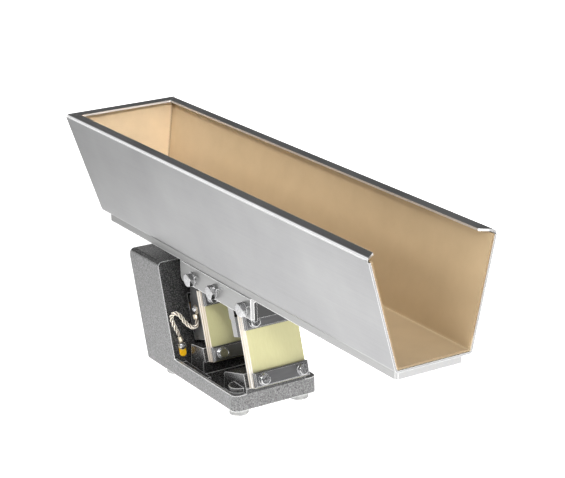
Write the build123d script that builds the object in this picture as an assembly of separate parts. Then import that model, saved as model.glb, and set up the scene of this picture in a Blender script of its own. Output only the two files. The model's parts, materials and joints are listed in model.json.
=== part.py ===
from build123d import *
import os
from math import cos, radians, sin, tan

# Small electromagnetic bulk feeder: a lined steel trough on leaf springs over a cast base.
# Millimetres. X runs along the trough to its discharge end, Z is up, and the origin lies on
# the floor below the centre of the trough.

# Trough, a bent sheet that is open at the discharge end
trough_length = 588.0
trough_floor_z = 140.0
trough_height = 108.0
floor_half_width = 40.0
top_half_width = 67.0
sheet = 2.0
bend_radius = 4.0
fold_radius = 2.5
side_flange = 13.0
end_flange = 14.0
flange_chamfer = 11.0
end_wall_rise_back = 23.0

# Wear liner of the trough
liner = 2.0
liner_gap = 0.15
liner_short_of_flange = 1.5
liner_short_of_mouth = 1.0

# Stiffening plate under the trough
plate_thickness = 9.5
plate_half_width = 35.5
plate_front_x = 288.0
plate_rear_x = -262.0

# Bracket under the plate, an inverted channel
bracket_rear_x = -99.0
bracket_front_x = 43.5
bracket_half_width = 36.5
bracket_web = 4.0
bracket_flange = 4.0
bracket_depth = 21.5
bracket_corner = 6.0

# Spring packs
lean_deg = 16.0
pack_centre_z = 69.3
front_pack_x = 26.0
pack_spacing = 83.0
leaf_count = 3
leaf_thickness = 3.6
leaf_half_width = 30.0
leaf_half_length = 37.0
shim_thickness = 0.8
clamp_bolt_up = 28.75
clamp_bolt_out = 22.0
clamp_bar_height = 15.0
clamp_bar_thickness = 4.5
clamp_bar_half_width = 31.0
clamp_bar_edge = 1.2

# Upper blocks between the bracket's flanges
front_block_front_x = 43.0
front_block_rear_x = -14.0
rear_block_front_x = -18.0
rear_block_rear_x = -92.0
leaf_top_clearance = 1.2
front_recess = 6.5
front_cheek = 3.5
seat_bar = 6.0
seat_bar_height = 20.0
front_leg_foot_up = 14.0
front_leg_shoulder_up = 31.8
front_leg_wide = 10.5
front_leg_thin = 8.3
rear_leg = 22.0
rear_leg_foot_up = -14.0

# Fasteners
m8 = 8.0
m8_flats = 13.0
m8_head = 5.3
m8_washer_radius = 7.5
m8_washer = 1.6
m8_side_length = 18.0
m6 = 6.0
m6_flats = 10.0
m6_head = 4.0
m6_washer_radius = 6.0
m6_washer = 1.6
m6_clamp_length = 30.0
clearance_hole = 0.5
thread_gap = 0.1
blind_extra = 3.0
side_bolt_x = (-74.0, -28.9, 31.3)
side_bolt_below_plate = 13.5

# Cast base with its magnet column
base_front_x = 25.0
base_front_half_width = 48.0
base_rear_half_width = 50.5
base_rear_x = -160.0
base_bottom_z = 8.0
rim_z = 25.0
column_front_x = -96.0
column_top_z = 123.0
side_wall = 3.0
front_wall = 9.0
base_floor = 8.0
pocket_corner = 9.0
front_corner = 7.0
column_corner = 5.0
column_top_round = 8.0
pad_half_width = 34.0
pad_top_down = 22.0
front_pad_fall_deg = 15.0
rear_pad_fall_deg = 7.0
front_pad_depth = 39.0
rear_pad_depth = 24.5
pad_back_batter = 3.0
pad_edge = 2.0
ledge_width = 11.0
ledge_z = 20.5
ledge_front_x = -43.0

# Magnet space in the column, closed by a cover at the back
column_wall = 7.0
cavity_half_width = 38.0
cavity_down = 26.0
cavity_up = 52.0
cover_thickness = 3.0
cover_margin = 6.5
cover_clearance = 0.3
cover_screw_radius = 1.75
cover_screw_head_radius = 3.0
cover_screw_head = 2.2
cover_screw_length = 9.0

# Magnet: E-shaped core, coil, armature
magnet_up = 8.0
core_stack = 40.0
core_leg = 7.0
core_window = 8.0
core_yoke = 11.0
core_depth = 38.0
air_gap = 2.0
armature_thickness = 10.0
coil_gap = 0.5
coil_build_out = 8.0
window_margin = 2.5
core_bracket = 2.5
core_bracket_height = 24.0
core_bracket_out = 29.2
core_bolt_radius = 2.0
core_bolt_head = 2.5
core_bolt_head_radius = 3.5
core_bolt_inset = 4.0
core_bolt_edge = 5.0
armature_screw_radius = 2.5
armature_screw_head = 3.0
armature_screw_head_radius = 4.5

# Cable gland on the cover
gland_out = 18.0
gland_up = -12.0
gland_thread_radius = 8.0
gland_hex_flats = 19.0
gland_hex = 5.0
gland_cap_radius = 9.5
gland_cap_length = 12.0
gland_cap_edge = 3.0
cable_radius = 3.5
locknut = 4.0

# Feet
foot_radius = 10.0
foot_top_radius = 9.0
foot_front_x = 10.0
foot_rear_x = -122.0
foot_y = 35.0
foot_screw_radius = 2.5
foot_screw_head_radius = 4.5
foot_screw_head = 2.8
foot_screw_recess = 3.6
foot_screw_length = 14.0
foot_boss_radius = 9.5
foot_boss_z = 30.0

# Tapped holes in the underside for bolting the base down
fixing_spacing_x = 80.0
fixing_spacing_y = 40.0
fixing_centre_x = -40.0
fixing_radius = 4.0
fixing_depth = 16.0

# Earth strap between the column and the moving side
earth_screw_radius = 2.0
earth_head_radius = 3.6
earth_head = 2.4
earth_screw_length = 7.0
lug_ring_radius = 4.2
lug_thickness = 1.0
lug_barrel_radius = 2.6
lug_barrel_length = 4.5
lug_neck = 1.5
lower_earth_inset = 10.5
lower_earth_z = 36.9
upper_earth_up = 18.3
upper_earth_behind_pack = 8.2
strap_radius = 2.0
lower_lug_turn = 12.0
upper_lug_turn = 210.0
strap_lead_out = 6.5
strap_lead_in = 4.2
tag_width = 7.5
tag_length = 11.0
tag_thickness = 0.8

# Worked out from the sizes above
lean = radians(lean_deg)
half_length = trough_length / 2
rear_pack_x = front_pack_x - pack_spacing
pack_thickness = leaf_count * leaf_thickness + (leaf_count - 1) * shim_thickness
plate_bottom_z = trough_floor_z - plate_thickness
block_top_z = plate_bottom_z - bracket_web
bracket_inner = bracket_half_width - bracket_flange
block_bottom_z = pack_centre_z + leaf_half_length * cos(lean) + leaf_top_clearance
pocket_floor_z = base_bottom_z + base_floor
trough_top_z = trough_floor_z + trough_height
flare = (top_half_width - floor_half_width) / trough_height


def up_lean(face_x, up, along):
    """Point (x, z) reached from a pack's face: up the leaf, then along the drive."""
    x = face_x - up * sin(lean) + along * cos(lean)
    z = pack_centre_z + up * cos(lean) + along * sin(lean)
    return x, z


def drive_plane(face_x):
    """Frame on a pack's front face: x across the feeder, y up the leaf, z along the drive."""
    return Plane(
        origin=(face_x, 0, pack_centre_z),
        x_dir=(0, 1, 0),
        z_dir=(cos(lean), 0, sin(lean)),
    )


def along_from(face_x, x, z):
    """Distance of a point from a pack's face, along the drive."""
    return (x - face_x) * cos(lean) + (z - pack_centre_z) * sin(lean)


def column_x(start_x, start_z, z):
    """X at a height on a face that leans back with the springs."""
    return start_x - (z - start_z) * tan(lean)


column_front_along = along_from(rear_pack_x, column_front_x, rim_z)
column_rear_along = along_from(rear_pack_x, base_rear_x, base_bottom_z)
armature_front_along = -pack_thickness - rear_leg
core_face_along = armature_front_along - armature_thickness - air_gap
core_height = 4 * core_leg + 2 * core_window
coil_back_along = core_face_along - core_depth + core_yoke + coil_gap
coil_depth = column_front_along - column_wall - coil_gap - coil_back_along


def block(low, high):
    """Box between two corners."""
    size = [b - a for a, b in zip(low, high)]
    middle = [(a + b) / 2 for a, b in zip(low, high)]
    return Pos(*middle) * Box(*size)


def pin(radius, low, high):
    """Cylinder along z from low to high."""
    return Pos(0, 0, (low + high) / 2) * Cylinder(radius, high - low)


def side_prism(points, half_width):
    """Solid across the feeder from an outline of (x, z) points."""
    outline = Polyline(*[(x, -half_width, z) for x, z in points], close=True)
    return extrude(make_face(outline), amount=2 * half_width, dir=(0, 1, 0))


def plan_prism(points, low_z, high_z):
    """Upright solid from an outline of (x, y) points."""
    outline = Polyline(*[(x, y, low_z) for x, y in points], close=True)
    return extrude(make_face(outline), amount=high_z - low_z, dir=(0, 0, 1))


def hex_bolt(radius, flats, head, length):
    """Hexagon bolt: the head's seat lies at z = 0 and the shank runs down."""
    hexagon = RegularPolygon(flats / 2, 6, major_radius=False)
    corner = flats / 2 / cos(radians(30))
    crown = pin(corner, 0, head)
    crown = chamfer(crown.edges().group_by(Axis.Z)[-1], head * 0.12, corner - flats * 0.47)
    return (extrude(hexagon, head) & crown) + pin(radius, -length, 0)


def washer(radius, hole, thickness):
    """Flat washer that stands on z = 0."""
    return pin(radius, 0, thickness) - pin(hole, -1, thickness + 1)


def pan_screw(radius, head_radius, head, length):
    """Pan head screw: the head's seat lies at z = 0 and the shank runs down."""
    cap = pin(head_radius, 0, head)
    cap = chamfer(cap.edges().group_by(Axis.Z)[-1], head * 0.4)
    return cap + pin(radius, -length, 0)


def facing_side(x, z, side, y):
    """Frame on a side face: z points out of the near (-1) or far (+1) side."""
    return Plane(origin=(x, side * y, z), x_dir=(1, 0, 0), z_dir=(0, side, 0))


def cross_section(half_bottom, half_top, height, thickness, radius, flange):
    """Open channel section with flared sides, as a face in the y, z plane at x = 0."""
    points = [(-half_top, height), (-half_bottom, 0), (half_bottom, 0), (half_top, height)]
    radii = [radius, radius]
    if flange:
        points = [(-half_top + flange, height)] + points + [(half_top - flange, height)]
        radii = [fold_radius, radius, radius, fold_radius]
    line = FilletPolyline(*points, radius=radii)
    wall = offset(line, amount=thickness, side=Side.LEFT)
    return Plane.YZ * make_face(wall.edges())


def end_wall_cut(inset):
    """Everything behind a plane that lies this far inside the trough's leaning end."""
    slope = end_wall_rise_back / trough_height
    shift = inset * (1 + slope ** 2) ** 0.5
    low_x = -half_length + end_wall_rise_back + shift
    below = trough_floor_z - 20
    above = trough_top_z + 20
    points = [
        (low_x + 20 * slope, below),
        (low_x - slope * (trough_height + 20), above),
        (-half_length - 60, above),
        (-half_length - 60, below),
    ]
    return side_prism(points, top_half_width + 20)


def trough_interior(inset, low_z, high_z):
    """Prism of the space between the flared walls, this far inside their outer faces."""
    side_inset = inset * (1 + flare ** 2) ** 0.5
    low = floor_half_width + (low_z - trough_floor_z) * flare - side_inset
    high = floor_half_width + (high_z - trough_floor_z) * flare - side_inset
    corners = [(-low, low_z), (low, low_z), (high, high_z), (-high, high_z)]
    outline = Polyline(*[(-half_length - 40, y, z) for y, z in corners], close=True)
    return extrude(make_face(outline), amount=trough_length + 80, dir=(1, 0, 0))


def end_flange_outline(extra):
    """Outline of the flange over the end wall, mitred where it meets the side flanges."""
    run = end_flange
    rise = side_flange * run / end_flange
    rear = -half_length - extra
    return [
        (rear, -top_half_width - extra),
        (rear, top_half_width + extra),
        (-half_length + run, top_half_width - rise),
        (-half_length + run, -top_half_width + rise),
    ]


def make_trough():
    """Bent sheet: floor, flared sides and inward flanges, welded to its end wall."""
    section = cross_section(
        floor_half_width, top_half_width, trough_height, sheet, bend_radius, side_flange
    )
    shell = extrude(section, amount=trough_length, dir=(1, 0, 0))
    shell = Pos(-half_length, 0, trough_floor_z) * shell
    shell -= end_wall_cut(0)
    shell -= plan_prism(end_flange_outline(0), trough_top_z - sheet, trough_top_z + 1)
    for side in (-1, 1):
        tip = side * (top_half_width - side_flange)
        corner = [
            (half_length + 1, side * top_half_width),
            (half_length, side * top_half_width),
            (half_length - flange_chamfer, tip),
            (half_length - flange_chamfer, tip - side),
            (half_length + 1, tip - side),
        ]
        shell -= plan_prism(corner, trough_top_z - 2 * sheet, trough_top_z + 1)
    return shell


def make_end_wall(shell):
    """Leaning end wall, fitted into the shell, with its own flange over the top."""
    wall = trough_interior(sheet, trough_floor_z + sheet, trough_top_z - sheet)
    wall = wall - end_wall_cut(0)
    wall = (wall & end_wall_cut(sheet)) - shell
    top = plan_prism(end_flange_outline(0), trough_top_z - sheet, trough_top_z)
    return wall + top


def make_liner():
    """Wear liner that follows the floor and both sides."""
    gap = sheet + liner_gap
    side_inset = gap * (1 + flare ** 2) ** 0.5
    rise = trough_height - sheet - liner_short_of_flange
    low = floor_half_width + gap * flare - side_inset
    high = floor_half_width + rise * flare - side_inset
    section = cross_section(low, high, rise - gap, liner, bend_radius - sheet, 0)
    front = half_length - liner_short_of_mouth
    skin = extrude(section, amount=front + half_length, dir=(1, 0, 0))
    skin = Pos(-half_length, 0, trough_floor_z + gap) * skin
    return skin - end_wall_cut(sheet + 2 * liner_gap + liner)


def make_end_liner(shell):
    """Wear liner over the end wall, cut to the shell's bends."""
    top = trough_top_z - sheet - liner_short_of_flange
    skin = trough_interior(sheet + liner_gap, trough_floor_z + sheet + liner_gap, top)
    skin = skin - end_wall_cut(sheet + liner_gap)
    return (skin & end_wall_cut(sheet + liner_gap + liner)) - shell


def make_plate():
    """Flat bar that stiffens the trough's floor and carries the bracket."""
    plate = block(
        (plate_rear_x, -plate_half_width, plate_bottom_z),
        (plate_front_x, plate_half_width, trough_floor_z),
    )
    return chamfer(plate.edges().filter_by(Axis.Z), 2.0)


def make_bracket():
    """Inverted channel: its web lies under the plate and its flanges hold the blocks."""
    low = plate_bottom_z - bracket_depth
    outer = block(
        (bracket_rear_x, -bracket_half_width, low),
        (bracket_front_x, bracket_half_width, plate_bottom_z),
    )
    inner = block(
        (bracket_rear_x - 1, -bracket_inner, low - 1),
        (bracket_front_x + 1, bracket_inner, block_top_z),
    )
    rear_corner = outer.edges().filter_by(Axis.Y).group_by(Axis.Z)[0].sort_by(Axis.X)[0]
    channel = fillet(rear_corner, bracket_corner) - inner
    for x in side_bolt_x:
        for side in (-1, 1):
            face = facing_side(x, plate_bottom_z - side_bolt_below_plate, side, bracket_half_width)
            channel -= face * pin(m8 / 2 + clearance_hole / 2, -bracket_flange - 1, 1)
    return channel


def make_upper_block(face_x, front_x, rear_x, leg_profile):
    """Block between the flanges, with a leaning leg; the profile is (up, behind pack)."""
    slab = block(
        (rear_x, -bracket_inner, block_bottom_z), (front_x, bracket_inner, block_top_z)
    )
    points = [up_lean(face_x, up, -pack_thickness - behind) for up, behind in leg_profile]
    prop = side_prism(points, leaf_half_width)
    prop = prop & block((rear_x, -leaf_half_width, 0), (front_x, leaf_half_width, block_top_z))
    body = slab + prop
    depth = m6_clamp_length - m6_washer - clamp_bar_thickness - pack_thickness + blind_extra
    for y in (-clamp_bolt_out, clamp_bolt_out):
        spot = drive_plane(face_x) * Pos(y, clamp_bolt_up, -pack_thickness)
        body -= spot * pin(m6 / 2 + thread_gap, -depth, 1)
    depth = m8_side_length - m8_washer - bracket_flange + blind_extra
    for x in side_bolt_x:
        for side in (-1, 1):
            if rear_x < x < front_x:
                z = plate_bottom_z - side_bolt_below_plate
                face = facing_side(x, z, side, bracket_inner)
                body -= face * pin(m8 / 2 + thread_gap, -depth, 1)
    return body


def leg_head_up():
    """How far up the lean a leg runs to end inside its block."""
    return (block_bottom_z + block_top_z - 2 * pack_centre_z) / (2 * cos(lean))


def make_front_upper_block():
    """Front block: two cheeks at its front, and a stepped leg behind the seat bar."""
    wide = seat_bar + front_leg_wide
    thin = seat_bar + front_leg_thin
    body = make_upper_block(
        front_pack_x,
        front_block_front_x,
        front_block_rear_x,
        [
            (front_leg_foot_up, seat_bar),
            (leg_head_up(), seat_bar),
            (leg_head_up(), wide),
            (front_leg_shoulder_up, wide),
            (front_leg_shoulder_up, thin),
            (front_leg_foot_up, thin),
        ],
    )
    reach = bracket_inner - front_cheek
    return body - block(
        (front_block_front_x - front_recess, -reach, block_bottom_z - 1),
        (front_block_front_x + 1, reach, block_top_z + 1),
    )


def make_seat_bar():
    """Bar between the front pack and its leg."""
    top_up = front_leg_foot_up + seat_bar_height
    bar = block(
        (-leaf_half_width, front_leg_foot_up, -pack_thickness - seat_bar),
        (leaf_half_width, top_up, -pack_thickness),
    )
    for y in (-clamp_bolt_out, clamp_bolt_out):
        bar -= Pos(y, clamp_bolt_up, 0) * pin(m6 / 2 + clearance_hole / 2, -60, 0)
    return drive_plane(front_pack_x) * bar


def earth_spot_upper():
    """Frame of the moving earth screw, on the near side of the rear leg."""
    x, z = up_lean(rear_pack_x, upper_earth_up, -pack_thickness - upper_earth_behind_pack)
    return Plane(origin=(x, -leaf_half_width, z), x_dir=(1, 0, 0), z_dir=(0, -1, 0))


def earth_spot_lower():
    """Frame of the fixed earth screw, on the front face of the column."""
    x = column_x(column_front_x, rim_z, lower_earth_z)
    y = lower_earth_inset - base_half_width(x)
    return Plane(
        origin=(x, y, lower_earth_z),
        x_dir=(0, 1, 0),
        z_dir=(cos(lean), 0, sin(lean)),
    )


def make_rear_upper_block():
    """Rear block: its leg also carries the armature and the moving earth screw."""
    body = make_upper_block(
        rear_pack_x,
        rear_block_front_x,
        rear_block_rear_x,
        [
            (rear_leg_foot_up, 0),
            (leg_head_up(), 0),
            (leg_head_up(), rear_leg),
            (rear_leg_foot_up, rear_leg),
        ],
    )
    for up in armature_screw_ups():
        spot = drive_plane(rear_pack_x) * Pos(0, up, armature_front_along)
        body -= spot * pin(armature_screw_radius + thread_gap, -1, rear_leg - 4)
    depth = earth_screw_length - lug_thickness + 1
    return body - earth_spot_upper() * pin(earth_screw_radius + thread_gap, -depth, 1)


def armature_screw_ups():
    """Heights of the two armature screws."""
    reach = core_height / 2 - core_leg
    return (magnet_up - reach, magnet_up + reach)


def make_armature():
    """Laminated bar that the magnet pulls."""
    half = core_height / 2
    back = armature_front_along - armature_thickness
    bar = block(
        (-core_stack / 2, magnet_up - half, back),
        (core_stack / 2, magnet_up + half, armature_front_along),
    )
    for up in armature_screw_ups():
        bar -= Pos(0, up, 0) * pin(armature_screw_radius + 0.2, back - 1, armature_front_along + 1)
        head = armature_screw_head_radius + 0.3
        bar -= Pos(0, up, 0) * pin(head, back - 1, back + armature_screw_head + 1)
    return drive_plane(rear_pack_x) * bar


def make_armature_screws():
    """Two socket screws sunk in the armature's face."""
    seat = armature_front_along - armature_thickness + armature_screw_head + 1
    length = armature_thickness - armature_screw_head - 1 + rear_leg - 7
    screws = []
    for up in armature_screw_ups():
        screw = pin(armature_screw_head_radius, -armature_screw_head, 0) + pin(armature_screw_radius, 0, length)
        screw -= pin(1.8, -armature_screw_head - 1, -1)
        screws.append(drive_plane(rear_pack_x) * Pos(0, up, seat) * screw)
    return screws


def make_leaves(face_x):
    """Glass fibre leaves of one pack, drilled for the clamp bolts."""
    leaves = []
    for index in range(leaf_count):
        back = -(index + 1) * leaf_thickness - index * shim_thickness
        leaf = block(
            (-leaf_half_width, -leaf_half_length, back),
            (leaf_half_width, leaf_half_length, back + leaf_thickness),
        )
        for y in (-clamp_bolt_out, clamp_bolt_out):
            for up in (-clamp_bolt_up, clamp_bolt_up):
                leaf -= Pos(y, up, 0) * pin(m6 / 2 + clearance_hole, back - 1, 1)
        leaves.append(drive_plane(face_x) * leaf)
    return leaves


def make_shims(face_x, up):
    """Thin spacers between the leaves of one pack, at one clamp."""
    shims = []
    for index in range(leaf_count - 1):
        front = -(index + 1) * leaf_thickness - index * shim_thickness
        half_height = clamp_bar_height / 2
        shim = block(
            (-leaf_half_width, up - half_height, front - shim_thickness),
            (leaf_half_width, up + half_height, front),
        )
        for y in (-clamp_bolt_out, clamp_bolt_out):
            shim -= Pos(y, up, 0) * pin(m6 / 2 + clearance_hole, -pack_thickness, 1)
        shims.append(drive_plane(face_x) * shim)
    return shims


def make_clamp_bar(face_x, up):
    """Bar that presses a pack against its seat."""
    half_height = clamp_bar_height / 2
    bar = block(
        (-clamp_bar_half_width, up - half_height, 0),
        (clamp_bar_half_width, up + half_height, clamp_bar_thickness),
    )
    bar = chamfer(bar.edges().group_by(Axis.Z)[-1], clamp_bar_edge)
    for y in (-clamp_bolt_out, clamp_bolt_out):
        bar -= Pos(y, up, 0) * pin(m6 / 2 + clearance_hole / 2, -1, clamp_bar_thickness + 1)
    return drive_plane(face_x) * bar


def clamp_spots(face_x, up):
    """Frames of one clamp's two bolts, on the bar's face."""
    return [
        drive_plane(face_x) * Pos(y, up, clamp_bar_thickness)
        for y in (-clamp_bolt_out, clamp_bolt_out)
    ]


def make_clamp_bolts(up):
    """M6 bolts of both packs at one height."""
    bolt = hex_bolt(m6 / 2, m6_flats, m6_head, m6_clamp_length)
    bolt = Pos(0, 0, m6_washer) * bolt
    return [spot * bolt for x in (front_pack_x, rear_pack_x) for spot in clamp_spots(x, up)]


def make_clamp_washers(up):
    """Washers of both packs at one height."""
    ring = washer(m6_washer_radius, m6 / 2 + clearance_hole / 2, m6_washer)
    return [spot * ring for x in (front_pack_x, rear_pack_x) for spot in clamp_spots(x, up)]


def side_spots():
    """Frames of the six side bolts, on the bracket's flanges."""
    z = plate_bottom_z - side_bolt_below_plate
    return [facing_side(x, z, s, bracket_half_width) for x in side_bolt_x for s in (-1, 1)]


def make_side_bolts():
    """M8 bolts from the flanges into the upper blocks."""
    bolt = hex_bolt(m8 / 2, m8_flats, m8_head, m8_side_length)
    return [spot * Pos(0, 0, m8_washer) * bolt for spot in side_spots()]


def make_side_washers():
    """Washers under the side bolts."""
    ring = washer(m8_washer_radius, m8 / 2 + clearance_hole / 2, m8_washer)
    return [spot * ring for spot in side_spots()]


def base_half_width(x):
    """Half width of the casting, which narrows towards its front."""
    share = (base_front_x - x) / (base_front_x - base_rear_x)
    return base_front_half_width + share * (base_rear_half_width - base_front_half_width)


def base_plan(inset, front_x, low_z, high_z):
    """Upright tapering block of the casting's plan, this far inside its sides."""
    rear_x = column_x(base_rear_x, base_bottom_z, column_top_z) - 20
    front = base_half_width(front_x) - inset
    rear = base_half_width(rear_x) - inset
    corners = [(front_x, -front), (front_x, front), (rear_x, rear), (rear_x, -rear)]
    return plan_prism(corners, low_z, high_z)


def make_pad(face_x, depth, fall_deg, foot_x):
    """Spring seat: its front leans with the leaves, down to their ends or to foot_x."""
    top = up_lean(face_x, -pad_top_down, -pack_thickness)
    low = up_lean(face_x, -leaf_half_length, -pack_thickness)
    knee_z = top[1] - (foot_x - top[0]) / tan(lean)
    knee = (foot_x, knee_z) if low[0] > foot_x > top[0] else low
    back = (top[0] - depth, top[1] - depth * tan(radians(fall_deg)))
    points = [
        knee,
        top,
        back,
        (back[0] - pad_back_batter, base_bottom_z),
        (foot_x, base_bottom_z),
        (foot_x, knee[1]),
    ]
    points = [p for p, q in zip(points, points[1:] + points[:1]) if p != q]
    pad = side_prism(points, pad_half_width)
    back_edge = pad.edges().filter_by(Axis.Y).group_by(Axis.Z)[-2]
    return fillet(back_edge, pad_edge)


def make_base_casting():
    """Base and magnet column cast in one, with a pocket, spring seats and foot bosses."""
    outline = [
        (base_front_x, base_bottom_z),
        (base_front_x, rim_z),
        (column_front_x, rim_z),
        (column_x(column_front_x, rim_z, column_top_z), column_top_z),
        (column_x(base_rear_x, base_bottom_z, column_top_z), column_top_z),
        (base_rear_x, base_bottom_z),
    ]
    body = side_prism(outline, base_rear_half_width + 5)
    back_edges = body.edges().filter_by(Axis.Y).group_by(Axis.X)
    body = fillet(back_edges[0], column_top_round)
    body = body & base_plan(0, base_front_x, base_bottom_z, column_top_z)
    body = fillet(body.edges().filter_by(Axis.Z), front_corner)
    behind = column_x(base_rear_x, base_bottom_z, column_top_z / 2) + 25
    back_corners = [
        e for e in body.edges()
        if e.center().X < behind and abs(e.center().Y) > base_rear_half_width - 3
        and e.length > column_top_z / 2
    ]
    body = fillet(back_corners, column_corner)

    pocket_front = base_front_x - front_wall
    pocket_rear = column_x(column_front_x, rim_z, pocket_floor_z)
    lip = rim_z + 40
    hollow = side_prism(
        [
            (pocket_rear, pocket_floor_z),
            (pocket_front, pocket_floor_z),
            (pocket_front, lip),
            (column_x(column_front_x, rim_z, lip), lip),
        ],
        base_rear_half_width,
    )
    hollow = hollow & base_plan(side_wall, pocket_front, pocket_floor_z, lip)
    hollow = fillet(hollow.edges().filter_by(Axis.Z), pocket_corner)
    body -= hollow

    body += make_pad(front_pack_x, front_pad_depth, front_pad_fall_deg, base_front_x)
    rear_seat_x = up_lean(rear_pack_x, -pad_top_down, -pack_thickness)[0]
    body += make_pad(rear_pack_x, rear_pad_depth, rear_pad_fall_deg, rear_seat_x)
    for side in (-1, 1):
        body += Pos(foot_front_x, side * foot_y, 0) * pin(foot_boss_radius, base_bottom_z, foot_boss_z)
        wall_y = base_half_width(ledge_front_x) - side_wall / 2
        ys = sorted((side * wall_y, side * (wall_y - ledge_width)))
        body += block((column_front_x, ys[0], base_bottom_z), (ledge_front_x, ys[1], ledge_z))

    magnet = drive_plane(rear_pack_x)
    body -= magnet * block(
        (-cavity_half_width, -cavity_down, column_rear_along - 1),
        (cavity_half_width, cavity_up, column_front_along - column_wall),
    )
    body -= magnet * block(
        (-cavity_half_width - cover_margin, -cavity_down - cover_margin, column_rear_along - 9),
        (cavity_half_width + cover_margin, cavity_up + cover_margin, column_rear_along + cover_thickness),
    )
    half = core_height / 2 + window_margin
    across = core_stack / 2 + window_margin
    body -= magnet * block(
        (-across, magnet_up - half, column_front_along - column_wall - 1),
        (across, magnet_up + half, column_front_along + 1),
    )
    for y, up in cover_screw_spots():
        hole = pin(cover_screw_radius + thread_gap, 0, cover_screw_length - cover_thickness + 1)
        body -= magnet * Pos(y, up, column_rear_along + cover_thickness - 0.5) * hole
    for y, up in core_foot_spots():
        inner = column_front_along - column_wall
        body -= magnet * Pos(y, up, inner) * pin(cover_screw_radius + thread_gap, -1, 5)

    depth = m6_clamp_length - m6_washer - clamp_bar_thickness - pack_thickness + blind_extra
    for face_x in (front_pack_x, rear_pack_x):
        for y in (-clamp_bolt_out, clamp_bolt_out):
            spot = drive_plane(face_x) * Pos(y, -clamp_bolt_up, -pack_thickness)
            body -= spot * pin(m6 / 2 + thread_gap, -depth, 1)
    for x, y in foot_spots():
        depth = foot_screw_length - base_bottom_z + foot_screw_recess + 1
        body -= Pos(x, y, base_bottom_z) * pin(foot_screw_radius + thread_gap, -1, depth)
    for x in (fixing_centre_x - fixing_spacing_x / 2, fixing_centre_x + fixing_spacing_x / 2):
        for y in (-fixing_spacing_y / 2, fixing_spacing_y / 2):
            body -= Pos(x, y, base_bottom_z) * pin(fixing_radius, -1, fixing_depth)
    depth = earth_screw_length - lug_thickness - tag_thickness + 1
    body -= earth_spot_lower() * pin(earth_screw_radius + thread_gap, -depth, 1)
    return body


def cover_screw_spots():
    """Places of the cover's screws, across and up the column."""
    y = cavity_half_width + cover_margin / 2
    low = -cavity_down - cover_margin / 2
    high = cavity_up + cover_margin / 2
    return [(s * y, up) for s in (-1, 1) for up in (low, (low + high) / 2, high)]


def core_foot_spots():
    """Places of the screws that hold the core's brackets to the column wall."""
    y = (cavity_half_width + core_bracket_out + core_bracket) / 2
    return [(s * y, magnet_up + d) for s in (-1, 1) for d in core_bolt_ups()]


def make_rear_cover():
    """Flat cover let into the back of the column."""
    across = cavity_half_width + cover_margin - cover_clearance
    low = -cavity_down - cover_margin + cover_clearance
    high = cavity_up + cover_margin - cover_clearance
    plate = block(
        (-across, low, column_rear_along), (across, high, column_rear_along + cover_thickness)
    )
    for y, up in cover_screw_spots():
        plate -= Pos(y, up, column_rear_along) * pin(cover_screw_radius + 0.2, -1, cover_thickness + 1)
    plate -= Pos(gland_out, gland_up, column_rear_along) * pin(
        gland_thread_radius + 0.1, -1, cover_thickness + 1
    )
    return drive_plane(rear_pack_x) * plate


def make_cover_screws():
    """Pan head screws of the cover."""
    screw = pan_screw(cover_screw_radius, cover_screw_head_radius, cover_screw_head, cover_screw_length)
    screw = Rot(180, 0, 0) * screw
    return [
        drive_plane(rear_pack_x) * Pos(y, up, column_rear_along) * screw
        for y, up in cover_screw_spots()
    ]


def gland_frame():
    """Frame of the gland: z points out of the back of the column."""
    return drive_plane(rear_pack_x) * Pos(gland_out, gland_up, column_rear_along) * Rot(180, 0, 0)


def make_gland_body():
    """Gland body: a hexagon outside the cover and a thread through it."""
    hexagon = extrude(RegularPolygon(gland_hex_flats / 2, 6, major_radius=False), gland_hex)
    thread = pin(gland_thread_radius, -cover_thickness - locknut - 2, 0)
    neck = pin(gland_thread_radius - 1, gland_hex, gland_hex + gland_cap_length - 4)
    bore = pin(cable_radius + 0.5, -20, gland_hex + gland_cap_length)
    return gland_frame() * (hexagon + thread + neck - bore)


def make_gland_cap():
    """Domed cap that grips the cable."""
    low = gland_hex + 0.5
    high = gland_hex + gland_cap_length
    cap = pin(gland_cap_radius, low, high)
    cap = chamfer(cap.edges().group_by(Axis.Z)[-1], gland_cap_edge)
    cap -= pin(gland_thread_radius - 0.9, low - 1, high - gland_cap_edge - 0.5)
    return gland_frame() * (cap - pin(cable_radius, low, high + 1))


def make_gland_locknut():
    """Nut inside the cover."""
    nut = extrude(RegularPolygon(gland_hex_flats / 2, 6, major_radius=False), locknut)
    nut -= pin(gland_thread_radius + thread_gap, -1, locknut + 1)
    return gland_frame() * Pos(0, 0, -cover_thickness - locknut) * nut


def make_core():
    """Laminated E core with its poles towards the armature."""
    half = core_height / 2
    back = core_face_along - core_depth
    core = block((-core_stack / 2, -half, back), (core_stack / 2, half, core_face_along))
    for side in (-1, 1):
        inner = core_leg
        outer = core_leg + core_window
        ups = sorted((side * inner, side * outer))
        core -= block(
            (-core_stack, ups[0], back + core_yoke), (core_stack, ups[1], core_face_along + 1)
        )
    for up in core_bolt_ups():
        hole = Rot(0, 90, 0) * Cylinder(core_bolt_radius + 0.2, 2 * core_stack)
        core -= Pos(0, up, back + core_bolt_inset) * hole
    return drive_plane(rear_pack_x) * Pos(0, magnet_up, 0) * core


def core_bolt_ups():
    """Heights of the two bolts through the core, from its middle."""
    reach = core_bracket_height / 2 - core_bolt_edge
    return (-reach, reach)


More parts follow.
